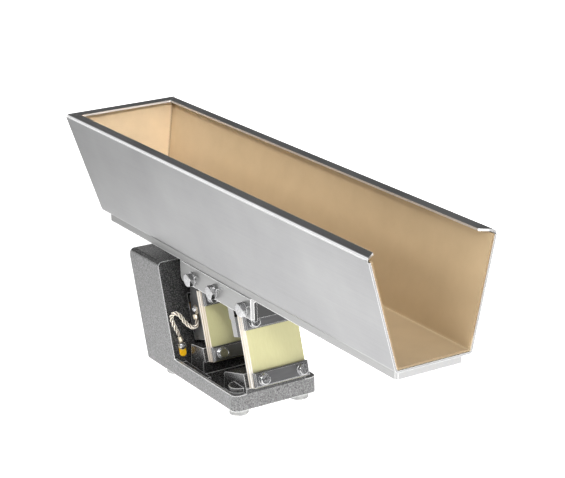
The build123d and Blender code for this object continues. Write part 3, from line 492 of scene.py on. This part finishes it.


# %% [markdown]
# The list of finishes follows the photograph: satin sheet with its grain along the
# trough, a tan wear liner, pale yellow-green spring board, grey hammertone paint, dark
# clamp steel, bright zinc and the small rubber, plastic and braid parts. A few surfaces
# need a finish of their own: the dark finish of the casting, which is painted shade, the
# sawn edges of the spring boards, the strands of the strap, the end board of the liner
# with painted shade in its corners, and the front block, with painted shade on the face
# that looks forward and plain steel elsewhere.

# %% Finishes
# Pale edge colours below paint wear and a highlight along the corners.
FINISHES = {
    # Satin sheet: pale edges, and a painted highlight on its bends and cut edges.
    "stainless": finish(
        "satin_sheet", (0.205, 0.205, 0.21), grey(0.35), satin_tone, (0.28, 0.38), 1.0,
        grain_tone((10, 1500, 1500), 1.1), 0.03, bright_edge=grey(0.95), edge_share=0.9,
        more_edges=bend_and_cut_highlight,
    ),
    # Wear liner: painted shade on faces that look forward, a painted highlight along the floor
    # corners.
    "liner": finish(
        "wear_liner", (0.29, 0.195, 0.095), (0.59, 0.447, 0.272),
        shade_forward_faces(cloud_tone(40.0), 0.85), (0.5, 0.38), 0.0, cloud_tone(600.0), 0.10,
        bright_edge=(0.92, 0.79, 0.55), edge_share=0.0, specular=0.6, more_edges=floor_corner_highlight,
    ),
    "bracket_steel": finish(
        "bracket_steel", grey(0.24), (0.36, 0.36, 0.355), grain_tone((60, 1500, 1500)),
        (0.30, 0.42), 1.0, bump=0.06, bright_edge=grey(0.95), edge_share=1.0,
        edge_width=0.0014, soft_edge=0.0005,
    ),
    "block_steel": finish(
        "block_steel", (0.035, 0.035, 0.036), grey(0.08), cloud_tone(150.0), (0.24, 0.42),
        0.6, bump=0.1, bright_edge=grey(0.6), edge_share=0.7, soft_edge=0.0005,
    ),
    "clamp_steel": finish(
        "clamp_steel", (0.115, 0.115, 0.118), (0.165, 0.165, 0.168), grain_tone((900, 60, 900)),
        (0.30, 0.40), 0.9, bump=0.06, bright_edge=grey(0.95), edge_share=0.9,
        soft_edge=0.0005,
    ),
    "zinc": finish(
        "bright_zinc", (0.30, 0.30, 0.31), grey(0.50), cloud_tone(500.0), (0.14, 0.26),
        1.0, bump=0.1, bright_edge=grey(0.98), edge_share=1.0, edge_width=0.0004,
        soft_edge=0.0003,
    ),
    "hammertone": finish(
        "grey_hammertone", grey(0.07), grey(0.28), cell_tone(700.0), (0.26, 0.48),
        0.45, cell_tone(700.0, "Height"), 0.45, 0.0004, grey(0.98), 1.0, 0.0016,
    ),
    "glass_fibre": finish(
        "spring_board", (0.465, 0.44, 0.23), (0.535, 0.51, 0.28),
        grain_tone((1400, 900, 120), 1.2, LEAN), (0.32, 0.46), bump=0.06, specular=0.6,
    ),
    "laminations": finish(
        "laminations", (0.04, 0.04, 0.045), grey(0.16), grain_tone((3, 2200, 3), 2.0),
        (0.35, 0.55), 0.5, bump=0.4,
    ),
    "winding": finish(
        "winding_tape", (0.10, 0.055, 0.02), (0.22, 0.13, 0.05),
        grain_tone((20, 20, 420), 1.5, LEAN), (0.35, 0.55), bump=0.4, coat=0.3,
    ),
    "rubber": finish(
        "pale_rubber", (0.36, 0.36, 0.355), (0.50, 0.50, 0.49), cloud_tone(250.0), (0.42, 0.6),
        bump=0.1,
    ),
    "braid": finish(
        "tinned_braid", (0.42, 0.34, 0.24), (0.78, 0.72, 0.60), cloud_tone(900.0), (0.24, 0.42),
        0.9, bump=0.1,
    ),
    "tag_yellow": finish(
        "yellow_tag", (0.80, 0.42, 0.0), (0.92, 0.54, 0.005), cloud_tone(500.0), (0.25, 0.4),
        bump=0.05, bright_edge=(0.25, 0.12, 0.0), edge_share=0.5, edge_width=0.0004,
    ),
    "gland_plastic": finish(
        "gland_plastic", grey(0.012), grey(0.028), cloud_tone(400.0), (0.32, 0.48), bump=0.1,
    ),
}
EXTRA_FINISHES = {
    # Dark casting: painted shade on the pocket, the seats and the column's front and top.
    "dark_casting": finish(
        "dark_casting", grey(0.008), grey(0.062), cell_tone(900.0), (0.16, 0.36), 0.0,
        cell_tone(900.0, "Height"), 0.5, 0.0004, grey(0.75), 0.9, 0.0014, coat=0.35,
        specular=0.35, soft_edge=0.0012,
    ),
    "board_edge": finish(
        "board_edge", (0.36, 0.26, 0.15), (0.95, 0.93, 0.88),
        grain_tone((560, 20, 6), 3.2, LEAN), (0.4, 0.55), bump=0.2,
    ),
    # Front block: painted shade on the face that looks forward.
    "front_shaded_steel": finish(
        "front_shaded_steel", grey(0.05), grey(0.36), shade_forward_faces(grain_tone((60, 1500, 1500)), 0.6),
        (0.42, 0.34), 1.0, bump=0.06, bright_edge=grey(0.95), edge_share=0.8,
    ),
    # End board: painted shade in its corners.
    "end_board": finish(
        "end_board", (0.16, 0.10, 0.05), (0.645, 0.497, 0.315), corner_shaded_tone, (0.5, 0.38),
        height=cloud_tone(600.0), bump=0.10, specular=0.6,
    ),
    "strands": finish(
        "braided_strands", (0.10, 0.055, 0.03), (0.95, 0.90, 0.80), attribute_tone("outer"),
        (0.42, 0.26), 0.85, specular=0.6,
    ),
}
floor_finish = finish("floor_paper", grey(0.90), grey(0.93), cloud_tone(3.0), (0.7, 0.8))
studio_floor.data.materials.append(floor_finish)

for entry in frame["record"]["subparts"]:
    node = NODES[entry["node"]]
    node.data.materials.clear()
    node.data.materials.append(FINISHES[entry["material_slot"]])
NODES["front_upper_block"].data.materials[0] = EXTRA_FINISHES["front_shaded_steel"]
NODES["end_liner"].data.materials[0] = EXTRA_FINISHES["end_board"]
print("finished nodes", len(NODES))

# %% [markdown]
# Product photographs like this one are shot on a table that is lit from below. The glow is
# weak behind the feeder on its near side and strong in front of it, and the leaning sides
# of the trough mirror just that part of the table. This is why the steel runs from mid
# grey at the closed end to nearly white at the mouth.

# %% Glow of the table
DIM_SPOT = (-0.80, -0.20, 0.0)
DIM_REACH, FULL_REACH = 0.15, 1.20
DIM_GLOW, FULL_GLOW = 0.14, 1.9

table_light = floor_finish.node_tree
table_reach = put(table_light, "ShaderNodeVectorMath", operation="DISTANCE")
wire(table_light, put(table_light, "ShaderNodeTexCoord").outputs["Object"], table_reach.inputs[0])
table_reach.inputs[1].default_value = DIM_SPOT
table_share = spread(table_light, table_reach.outputs["Value"], DIM_REACH, FULL_REACH, 0.0, 1.0)
dim_colour, full_colour = ((glow, glow, glow, 1) for glow in (DIM_GLOW, FULL_GLOW))
table_glow = blend_colours(table_light, table_share, dim_colour, full_colour)
table_shader = table_light.nodes["Principled BSDF"]
wire(table_light, table_glow, table_shader.inputs["Emission Color"])
table_shader.inputs["Emission Strength"].default_value = 1.0
print("table glow from", DIM_GLOW, "to", FULL_GLOW)

# %% [markdown]
# New pieces take their places from the bare solids, so that nothing has to be fitted by
# eye. A node may hold several loose solids: four bolts, or three leaves. The first helper
# parts them, the second measures one along a direction, and the third finds the point on
# its axis where a screw head sits on the face below it.

# %% Reading places from the solids
ALONG = Vector((math.cos(LEAN), 0, math.sin(LEAN)))
UP_LEAF = Vector((-math.sin(LEAN), 0, math.cos(LEAN)))
ACROSS = Vector((0, 1, 0))


def solids(node):
    """Corner points of each separate solid of a CAD node, from near to far and front to rear."""
    shell = bmesh.new()
    shell.from_mesh(NODES[node].data)
    bmesh.ops.remove_doubles(shell, verts=shell.verts, dist=1e-6)
    found, waiting = [], set(shell.verts)
    while waiting:
        stack, group = [waiting.pop()], []
        while stack:
            corner = stack.pop()
            group.append(corner.co.copy())
            near = {edge.other_vert(corner) for edge in corner.link_edges} & waiting
            waiting -= near
            stack.extend(near)
        found.append(group)
    shell.free()
    return sorted(found, key=lambda g: [round(c, 4) for c in middle(g)])


def middle(points):
    """Middle of the upright box round some points."""
    return [(min(p[i] for p in points) + max(p[i] for p in points)) / 2 for i in range(3)]


def span(points, direction):
    """Lowest and highest reach of some points along a direction."""
    reach = [p.dot(direction) for p in points]
    return min(reach), max(reach)


def seat(points, outward, height):
    """Point on a solid's axis, at a height below its outer end."""
    first = outward.orthogonal().normalized()
    place = outward * (span(points, outward)[1] - height)
    for side in (first, outward.cross(first)):
        low, high = span(points, side)
        place += side * (low + high) / 2
    return place


def new_piece(name, mesh, body=None, replaces=()):
    """Show a mesh as a piece of the machine that moves with a body."""
    piece = new_object(name, mesh)
    if body:
        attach(piece, body)
    if replaces:
        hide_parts(*replaces)
    return piece


def body_of(node):
    """Body that carries a CAD node."""
    parents = [b for b, o in frame["bodies"].items() if NODES[node].parent == o]
    return parents[0]


# %% [markdown]
# The earth strap is the one soft piece: a short braided lead that lets the magnet's
# armature move while the two halves stay joined. It is a limp cord, so its line comes
# first: a NURBS spline through the route that the engineering model uses, from the lug on
# the column to the lug on the moving block. Three bundles of fine tinned wire wind round
# that line. Each wire is a thin tube whose points store how far out they lie, so that the
# finish can stay brown deep in the gaps.

# %% Line of the earth strap
STRAP_ROUTE_MM = (
    (-98.89, -41.32, 47.43), (-100.64, -42.67, 53.54), (-103.29, -45.52, 60.73),
    (-105.59, -47.02, 69.13), (-99.59, -45.02, 75.13), (-94.79, -41.02, 71.63),
    (-91.0, -38.5, 65.27), (-82.4, -35.5, 61.77), (-76.3, -33.6, 63.97),
    (-74.6, -32.6, 68.73), (-76.7, -32.6, 72.37),
)
STRAP_DIAMETER = 4 * MM

line_data = bpy.data.curves.new("strap_line", "CURVE")
line_data.dimensions = "3D"
line_data.resolution_u = 24
spline = line_data.splines.new("NURBS")
spline.points.add(len(STRAP_ROUTE_MM) - 1)
for point, place in zip(spline.points, STRAP_ROUTE_MM):
    point.co = (*(Vector(place) * MM), 1)
spline.order_u = 3
spline.use_endpoint_u = True
strap_line = new_object("strap_line", line_data)
graph = bpy.context.evaluated_depsgraph_get()
line_mesh = bpy.data.meshes.new_from_object(strap_line.evaluated_get(graph))
strap_path = [v.co.copy() for v in line_mesh.vertices]
bpy.data.objects.remove(strap_line)

# %% [markdown]
# A frame is carried along the line without twisting (parallel transport): each step turns
# the last frame by just as much as the line turns. The bundles and their wires are then
# plain helices in that frame, drawn closer together where the lugs pinch both ends.

# %% Strands of the earth strap
BUNDLES, WIRES, WIRE_SIDES = 3, 7, 6
BUNDLE_TURNS, WIRE_TURNS = 4.5, 12.0
BUNDLE_OUT, WIRE_OUT, WIRE_RADIUS = 1.25 * MM, 0.70 * MM, 0.33 * MM
STRAP_STEPS = 260
PINCH, PINCH_STEEPNESS = 0.75, 8
BROWN_REACH, PALE_SPAN = 0.60, 0.42


def even_points(points, count):
    """Points at equal steps along a line."""
    gaps = [(b - a).length for a, b in zip(points, points[1:])]
    total = sum(gaps)
    even, index, walked = [], 0, 0.0
    for step in range(count + 1):
        goal = total * step / count
        while index < len(gaps) - 1 and walked + gaps[index] < goal:
            walked += gaps[index]
            index += 1
        share = min((goal - walked) / gaps[index], 1.0)
        even.append(points[index].lerp(points[index + 1], share))
    return even


def carried_frames(points):
    """Two directions across the line at each point, without twist."""
    ways = [(b - a).normalized() for a, b in zip(points, points[1:])]
    ways.append(ways[-1])
    side = ways[0].orthogonal().normalized()
    frames = []
    for before, way in zip([ways[0]] + ways, ways):
        side = before.rotation_difference(way) @ side
        side = (side - way * side.dot(way)).normalized()
        frames.append((side, way.cross(side)))
    return frames


def strap_mesh():
    """All wires as one mesh, with an attribute that grows from the core outwards."""
    points = even_points(strap_path, STRAP_STEPS)
    frames = carried_frames(points)
    corners, faces, outer = [], [], []
    for bundle in range(BUNDLES):
        for wire_index in range(WIRES):
            start = len(corners)
            for step, (point, (side, rise)) in enumerate(zip(points, frames)):
                share = step / STRAP_STEPS
                big = 2 * math.pi * (BUNDLE_TURNS * share + bundle / BUNDLES)
                small = 2 * math.pi * (-WIRE_TURNS * share + wire_index / WIRES)
                open_share = min(1.0, PINCH_STEEPNESS * share, PINCH_STEEPNESS * (1 - share))
                pull = PINCH + (1 - PINCH) * open_share
                across = BUNDLE_OUT * math.cos(big) + WIRE_OUT * math.cos(small)
                above = BUNDLE_OUT * math.sin(big) + WIRE_OUT * math.sin(small)
                centre = point + (side * across + rise * above) * pull
                for corner in range(WIRE_SIDES):
                    angle = 2 * math.pi * corner / WIRE_SIDES
                    offset = side * math.cos(angle) + rise * math.sin(angle)
                    place = centre + offset * WIRE_RADIUS * pull
                    corners.append(place)
                    reach = (place - point).length / (STRAP_DIAMETER / 2)
                    outer.append(max(0.0, min(1.0, (reach - BROWN_REACH) / PALE_SPAN)))
            for step in range(STRAP_STEPS):
                for corner in range(WIRE_SIDES):
                    a = start + step * WIRE_SIDES + corner
                    b = start + step * WIRE_SIDES + (corner + 1) % WIRE_SIDES
                    faces.append((a, b, b + WIRE_SIDES, a + WIRE_SIDES))
            faces.append(tuple(start + c for c in reversed(range(WIRE_SIDES))))
            last = start + STRAP_STEPS * WIRE_SIDES
            faces.append(tuple(last + c for c in range(WIRE_SIDES)))
    mesh = bpy.data.meshes.new("earth_strap_braid")
    mesh.from_pydata(corners, [], faces)
    mesh.attributes.new("outer", "FLOAT", "POINT").data.foreach_set("value", outer)
    mesh.polygons.foreach_set("use_smooth", [True] * len(mesh.polygons))
    mesh.materials.append(EXTRA_FINISHES["strands"])
    return mesh


strap = new_piece("earth_strap_braid", strap_mesh(), replaces=["earth_strap"])
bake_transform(strap)
print("strap faces", len(strap.data.polygons))

# %% [markdown]
# Leaf springs of glass-fibre board carry the trough. Each pack has three leaves with thin
# shims between them at the clamps. Two faces of a leaf are smooth pale resin, while the
# sawn edges show the layers of cloth as fine lines, so the leaf gets two finishes. Each
# leaf is divided along its length, because a spring bends into a shallow S when the
# trough moves, and only points can follow a bend.

# %% Leaf springs
LEAF_STEPS = 28
LEAF_EDGE = 0.35 * MM
LEAF_GRIP = 20 * MM


def leaf_corners(low, high, edge):
    """Outline of a leaf's section with its four corners taken off."""
    (y0, t0), (y1, t1) = low, high
    return [
        (y0 + edge, t0), (y1 - edge, t0), (y1, t0 + edge), (y1, t1 - edge),
        (y1 - edge, t1), (y0 + edge, t1), (y0, t1 - edge), (y0, t0 + edge),
    ]


def leaf_pack_mesh(name, node):
    """The leaves of one pack, each a section pushed along the lean in small steps."""
    mesh = bpy.data.meshes.new(name)
    corners, faces, kinds = [], [], []
    for points in solids(node):
        up_low, up_high = span(points, UP_LEAF)
        thick_low, thick_high = span(points, ALONG)
        y_low, y_high = span(points, ACROSS)
        outline = leaf_corners((y_low, thick_low), (y_high, thick_high), LEAF_EDGE)
        start, count = len(corners), len(outline)
        for step in range(LEAF_STEPS + 1):
            up = up_low + (up_high - up_low) * step / LEAF_STEPS
            for y, thick in outline:
                corners.append(UP_LEAF * up + ALONG * thick + ACROSS * y)
        for step in range(LEAF_STEPS):
            for corner in range(count):
                a = start + step * count + corner
                b = start + step * count + (corner + 1) % count
                faces.append((a, b, b + count, a + count))
                kinds.append(0 if corner in (0, 4) else 1)
        faces.append(tuple(start + c for c in reversed(range(count))))
        last = start + LEAF_STEPS * count
        faces.append(tuple(last + c for c in range(count)))
        kinds += [1, 1]
    mesh.from_pydata(corners, [], faces)
    mesh.materials.append(FINISHES["glass_fibre"])
    mesh.materials.append(EXTRA_FINISHES["board_edge"])
    mesh.polygons.foreach_set("material_index", kinds)
    shell = bmesh.new()
    shell.from_mesh(mesh)
    bmesh.ops.recalc_face_normals(shell, faces=shell.faces)
    shell.to_mesh(mesh)
    shell.free()
    return mesh


for pack in ("front", "rear"):
    node = pack + "_leaf_springs"
    points = [p for solid in solids(node) for p in solid]
    low, high = span(points, UP_LEAF)
    across = sum(span(points, ALONG)) / 2
    piece = new_piece(
        pack + "_spring_boards", leaf_pack_mesh(pack + "_spring_boards", node),
        replaces=[node],
    )
    foot = UP_LEAF * (low + LEAF_GRIP) + ALONG * across
    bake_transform(piece)

# %% [markdown]
# Hexagon bolts repeat many times, so Geometry Nodes place them. A tree gets a few points,
# one for each seat, with the direction in which its head looks. It builds one bolt from
# named sizes: a six-sided prism meets a wide cone, which takes off the corners in the
# curved facets that every turned hexagon shows. Each head is turned by a random angle
# with a fixed seed, because no fitter leaves them all in line.

# %% Geometry tree for hexagon bolts
GEOMETRY = "NodeSocketGeometry"


def geometry_tree(name, inputs):
    """Start a geometry tree; returns it with its input and output sockets."""
    tree = bpy.data.node_groups.new(name, "GeometryNodeTree")
    tree.is_modifier = True
    tree.interface.new_socket("Geometry", in_out="OUTPUT", socket_type=GEOMETRY)
    tree.interface.new_socket("Geometry", in_out="INPUT", socket_type=GEOMETRY)
    for label, kind, value in inputs:
        socket = tree.interface.new_socket(label, in_out="INPUT", socket_type=kind)
        if value is not None:
            socket.default_value = value
    return tree, put(tree, "NodeGroupInput").outputs, put(tree, "NodeGroupOutput").inputs


def lifted(tree, shape, height):
    """Move a shape along its own axis."""
    offset = put(tree, "ShaderNodeCombineXYZ")
    wire(tree, height, offset.inputs["Z"])
    move = put(tree, "GeometryNodeTransform")
    wire(tree, shape, move.inputs["Geometry"])
    wire(tree, offset.outputs[0], move.inputs["Translation"])
    return move.outputs[0]


def set_on_seats(tree, sockets, part):
    """Copy a part to every seat, look outwards, turn at random, and make it real."""
    outward = put(tree, "GeometryNodeInputNamedAttribute", data_type="FLOAT_VECTOR")
    outward.inputs["Name"].default_value = "outward"
    align = put(tree, "FunctionNodeAlignRotationToVector", axis="Z")
    wire(tree, outward.outputs["Attribute"], align.inputs["Vector"])
    place = put(tree, "GeometryNodeInstanceOnPoints")
    wire(tree, sockets["Geometry"], place.inputs["Points"])
    wire(tree, part, place.inputs["Instance"])
    wire(tree, align.outputs[0], place.inputs["Rotation"])
    chance = put(tree, "FunctionNodeRandomValue", data_type="FLOAT")
    wire(tree, sockets["Most Turn"], chance.inputs[3])
    wire(tree, sockets["Seed"], chance.inputs["Seed"])
    spin = put(tree, "ShaderNodeCombineXYZ")
    wire(tree, chance.outputs[1], spin.inputs["Z"])
    turn = put(tree, "GeometryNodeRotateInstances")
    wire(tree, place.outputs[0], turn.inputs["Instances"])
    wire(tree, spin.outputs[0], turn.inputs["Rotation"])
    real = put(tree, "GeometryNodeRealizeInstances")
    wire(tree, turn.outputs[0], real.inputs[0])
    paint = put(tree, "GeometryNodeSetMaterial")
    wire(tree, real.outputs[0], paint.inputs["Geometry"])
    wire(tree, sockets["Material"], paint.inputs["Material"])
    return paint.outputs[0]


def tube_node(tree, sides, radius, depth):
    """A closed cylinder, centred on the origin."""
    node = put(tree, "GeometryNodeMeshCylinder")
    for label, value in (("Vertices", sides), ("Radius", radius), ("Depth", depth)):
        wire(tree, value, node.inputs[label])
    return node.outputs["Mesh"]


SPIN_INPUTS = [
    ("Most Turn", FLOAT, 2 * math.pi), ("Seed", "NodeSocketInt", 1),
    ("Material", "NodeSocketMaterial", None),
]
hex_tree, hex_in, hex_out = geometry_tree(
    "hexagon_bolts",
    [("Flats", FLOAT, 0.013), ("Head", FLOAT, 0.005), ("Shank", FLOAT, 0.008),
     ("Length", FLOAT, 0.018)] + SPIN_INPUTS,
)
CORNER_RATIO = 0.5 / math.cos(math.radians(30))
CROWN_RATIO, CROWN_SLOPE, CROWN_SIDES = 0.465, 1.9, 48
SHANK_SIDES = 24
prism = tube_node(
    hex_tree, 6, math_node(hex_tree, "MULTIPLY", hex_in["Flats"], CORNER_RATIO), hex_in["Head"]
)
half_head = math_node(hex_tree, "MULTIPLY", hex_in["Head"], 0.5)
crown = put(hex_tree, "GeometryNodeMeshCone")
crown.inputs["Vertices"].default_value = CROWN_SIDES
crown_top = math_node(hex_tree, "MULTIPLY", hex_in["Flats"], CROWN_RATIO)
crown_widen = math_node(hex_tree, "MULTIPLY", hex_in["Head"], CROWN_SLOPE)
wire(hex_tree, crown_top, crown.inputs["Radius Top"])
wire(hex_tree, math_node(hex_tree, "ADD", crown_top, crown_widen), crown.inputs["Radius Bottom"])
wire(hex_tree, hex_in["Head"], crown.inputs["Depth"])
meet = put(hex_tree, "GeometryNodeMeshBoolean", operation="INTERSECT", solver="EXACT")
wire(hex_tree, lifted(hex_tree, prism, half_head), meet.inputs[1])
wire(hex_tree, crown.outputs["Mesh"], meet.inputs[1])
shank_radius = math_node(hex_tree, "MULTIPLY", hex_in["Shank"], 0.5)
shank = tube_node(hex_tree, SHANK_SIDES, shank_radius, hex_in["Length"])
drop = math_node(hex_tree, "MULTIPLY", hex_in["Length"], -0.5)
bolt = put(hex_tree, "GeometryNodeJoinGeometry")
wire(hex_tree, meet.outputs["Mesh"], bolt.inputs[0])
wire(hex_tree, lifted(hex_tree, shank, drop), bolt.inputs[0])
wire(hex_tree, set_on_seats(hex_tree, hex_in, bolt.outputs[0]), hex_out["Geometry"])
print("bolt tree nodes", len(hex_tree.nodes))

# %% [markdown]
# The tree runs once for each group of bolts on each body. Its points sit where the heads
# of the bare bolts sit. The result is turned into a plain mesh, because the finished model
# is handed over without live modifiers.

# %% Running a tree on seats
def seats_mesh(seats):
    """Points with the direction in which each part looks."""
    mesh = bpy.data.meshes.new("seats")
    mesh.from_pydata([place for place, _ in seats], [], [])
    outward = mesh.attributes.new("outward", "FLOAT_VECTOR", "POINT")
    outward.data.foreach_set("vector", [c for _, way in seats for c in way])
    return mesh


def grow(name, mesh, tree, values):
    """Run a geometry tree on a mesh and return the result as a plain mesh."""
    carrier = new_object(name, mesh)
    modifier = carrier.modifiers.new("growth", "NODES")
    modifier.node_group = tree
    for item in tree.interface.items_tree:
        if item.in_out == "INPUT" and item.name in values:
            modifier[item.identifier] = values[item.name]
    graph = bpy.context.evaluated_depsgraph_get()
    result = bpy.data.meshes.new_from_object(carrier.evaluated_get(graph))
    result.name = name
    bpy.data.objects.remove(carrier)
    return result


def node_seats(node, head, outward=None):
    """Seat and outward direction of every solid of a node; side bolts look away from y = 0."""
    seats = []
    for points in solids(node):
        way = outward or Vector((0, math.copysign(1, middle(points)[1]), 0))
        seats.append((seat(points, way, head), way))
    return seats


# node, width across flats, head, shank, length (all in mm), outward, seed
BOLTS = (
    ("side_bolts", 13.0, 5.3, 8.0, 18.0, None, 4),
    ("upper_clamp_bolts", 10.0, 4.0, 6.0, 30.0, ALONG, 8),
    ("lower_clamp_bolts", 10.0, 4.0, 6.0, 30.0, ALONG, 3),
)
for node, flats, head, shank, length, outward, seed in BOLTS:
    sizes = {"Flats": flats * MM, "Head": head * MM, "Shank": shank * MM, "Length": length * MM}
    mesh = grow(
        node + "_hexagons", seats_mesh(node_seats(node, head * MM, outward)), hex_tree,
        {**sizes, "Seed": seed, "Material": FINISHES["zinc"]},
    )
    piece = new_piece(node + "_hexagons", mesh, body_of(node), [node])
    print(piece.name, len(mesh.polygons), "faces")

# %% [markdown]
# Other repeated parts are turned on a lathe: screws with a cross recess, and the feet. One
# part is drawn as an outline of radius and height, spun into a mesh, and a second tree
# sets it on every seat. The cross is cut with a boolean before the part is copied.

# %% Lathe and cross recess
CROSS_TAPER, CROSS_PAST_TOP = 0.55, 0.05
CROSS_ARM, CROSS_WIDTH, CROSS_DEPTH = 1.1, 0.26, 0.6
DOME_DEGREES = (0, 15, 30, 45, 60, 75)
DOME_RIM = 0.25


def turned(name, outline, sides=32):
    """Mesh spun round the z axis from (radius, height) points, from the bottom up."""
    shell = bmesh.new()
    rings = []
    for radius, height in outline:
        ring = []
        for index in range(sides):
            angle = 2 * math.pi * index / sides
            x, y = radius * math.cos(angle), radius * math.sin(angle)
            ring.append(shell.verts.new((x, y, height)))
        rings.append(ring)
    for low, high in zip(rings, rings[1:]):
        for index in range(sides):
            after = (index + 1) % sides
            shell.faces.new((low[index], low[after], high[after], high[index]))
    bmesh.ops.remove_doubles(shell, verts=shell.verts, dist=1e-7)
    bmesh.ops.recalc_face_normals(shell, faces=shell.faces)
    mesh = bpy.data.meshes.new(name)
    shell.to_mesh(mesh)
    shell.free()
    return mesh


def crossed(mesh, arm, width, top, depth):
    """Cut a tapered cross recess into the top of a screw."""
    shell = bmesh.new()
    for long_x, long_y in ((arm, width), (width, arm)):
        made = bmesh.ops.create_cube(shell, size=1.0)["verts"]
        for corner in made:
            narrow = 1.0 if corner.co.z > 0 else CROSS_TAPER
            corner.co.x *= long_x * narrow
            corner.co.y *= long_y * narrow
            corner.co.z = top - depth / 2 + corner.co.z * depth + depth * CROSS_PAST_TOP
    cross = bpy.data.meshes.new("cross")
    shell.to_mesh(cross)
    shell.free()
    body, tool = new_object("screw", mesh), new_object("cutter", cross)
    cut = body.modifiers.new("cut", "BOOLEAN")
    cut.operation, cut.solver, cut.use_self, cut.object = "DIFFERENCE", "EXACT", True, tool
    graph = bpy.context.evaluated_depsgraph_get()
    result = bpy.data.meshes.new_from_object(body.evaluated_get(graph))
    for thing in (body, tool):
        bpy.data.objects.remove(thing)
    return result


def pan_head(name, radius, head_radius, head, length):
    """Pan head screw with a cross; its seat is at z = 0 and its shank runs down."""
    dome = [
        (head_radius * math.cos(a), head * (DOME_RIM + (1 - DOME_RIM) * math.sin(a)))
        for a in map(math.radians, DOME_DEGREES)
    ]
    shaft = [(0, -length), (radius, -length), (radius, 0), (head_radius, 0)]
    return crossed(
        turned(name, shaft + dome + [(0, head)]),
        head_radius * CROSS_ARM, head_radius * CROSS_WIDTH, head, head * CROSS_DEPTH,
    )


part_tree, part_in, part_out = geometry_tree(
    "seated_parts", [("Part", "NodeSocketObject", None)] + SPIN_INPUTS
)
part_info = put(part_tree, "GeometryNodeObjectInfo")
wire(part_tree, part_in["Part"], part_info.inputs["Object"])
part_done = set_on_seats(part_tree, part_in, part_info.outputs["Geometry"])
wire(part_tree, part_done, part_out["Geometry"])


def seat_parts(node, part, seats, finish_slot, seed, most_turn=2 * math.pi):
    """Set copies of a part on seats, in place of a CAD node."""
    pattern = new_object("pattern", part)
    values = {
        "Part": pattern, "Seed": seed, "Most Turn": most_turn, "Material": FINISHES[finish_slot],
    }
    mesh = grow(node + "_parts", seats_mesh(seats), part_tree, values)
    bpy.data.objects.remove(pattern)
    piece = new_piece(node + "_parts", mesh, body_of(node), [node])
    print(piece.name, len(mesh.polygons), "faces")
    return piece


# %% [markdown]
# Three kinds of screw are left: two that hold the earth strap, those of the rear cover, and
# one through each foot. The feet are soft buffers with a groove round the middle and a
# hollow for the screw head underneath. They are turned from the same kind of outline.

# %% Screws and feet
FOOT_SIDES = 48
# node, shank radius, head radius, head, length (all in mm), outward, finish, seed
SCREWS = (
    ("fixed_earth_screw", 2.0, 3.6, 2.4, 7.0, ALONG, "zinc", 5),
    ("moving_earth_screw", 2.0, 3.6, 2.4, 7.0, Vector((0, -1, 0)), "zinc", 2),
    ("cover_screws", 1.75, 3.0, 2.2, 9.0, -ALONG, "zinc", 7),
    ("foot_screws", 2.5, 4.5, 2.8, 14.0, Vector((0, 0, -1)), "zinc", 3),
)
for node, radius, head_radius, head, length, outward, finish_slot, seed in SCREWS:
    part = pan_head(node, radius * MM, head_radius * MM, head * MM, length * MM)
    seat_parts(node, part, node_seats(node, head * MM, outward), finish_slot, seed)

# radius and height
FOOT_OUTLINE_MM = (
    (2.8, 7.9), (2.8, 3.6), (5.0, 3.6), (5.0, 0.6), (5.5, 0.0), (9.2, 0.0), (9.8, 0.4),
    (10.0, 1.0), (9.9, 2.6), (9.5, 3.0), (9.5, 3.4), (9.75, 3.8), (9.6, 6.2), (9.3, 7.2),
    (8.8, 7.8), (8.2, 8.0), (2.8, 8.0), (2.8, 7.9),
)
foot = turned("foot", [(r * MM, h * MM) for r, h in FOOT_OUTLINE_MM], FOOT_SIDES)
for face in foot.polygons:
    face.use_smooth = True
foot_seats = [
    (Vector((middle(p)[0], middle(p)[1], 0.0)), Vector((0, 0, 1))) for p in solids("rubber_feet")
]
seat_parts("rubber_feet", foot, foot_seats, "rubber", 1)

# %% [markdown]
# The base is a sand casting. The outside was sprayed grey with a hammer finish. The
# pocket, the spring seats, and the front and top of the column get a dark glossy finish,
# which is painted shade: the same paint where it lies in shade. A copy of the bare solid
# keeps its shape and its shading, and each face takes its finish from where it lies and
# which way it looks. The grey and the painted shade so meet exactly on an edge.

# %% Base casting
BASE_RIM_Z = 25 * MM
INNER_HALF_WIDTH = 46 * MM
FRONT_FACE_X = 20 * MM
REAR_FACE_X = -158 * MM
RIM_SLACK = 1 * MM
FLAT, LEANING = 0.9, 0.3


def sprayed_grey(centre, normal):
    """True where the grey paint shows; the other faces take the dark finish of painted shade."""
    outside = abs(centre.y) > INNER_HALF_WIDTH and normal.y * centre.y > 0
    if centre.z < BASE_RIM_Z + RIM_SLACK:
        rim = centre.z > BASE_RIM_Z - RIM_SLACK and normal.z > FLAT
        front = centre.x > FRONT_FACE_X and normal.x > LEANING
        rear = centre.x < REAR_FACE_X
        return outside or rim or front or rear or normal.z < -FLAT
    if normal.dot(ALONG) > 0.5 or normal.z > 0.55:
        return False
    return outside or normal.dot(ALONG) < -LEANING


cast_mesh = NODES["base_casting"].data.copy()
cast_mesh.name = "base_casting_skin"
cast_mesh.materials.clear()
cast_mesh.materials.append(FINISHES["hammertone"])
cast_mesh.materials.append(EXTRA_FINISHES["dark_casting"])
for face in cast_mesh.polygons:
    face.material_index = 0 if sprayed_grey(face.center, face.normal) else 1
new_piece("base_casting_skin", cast_mesh, "base", ["base_casting"])
print("casting faces", len(cast_mesh.polygons))
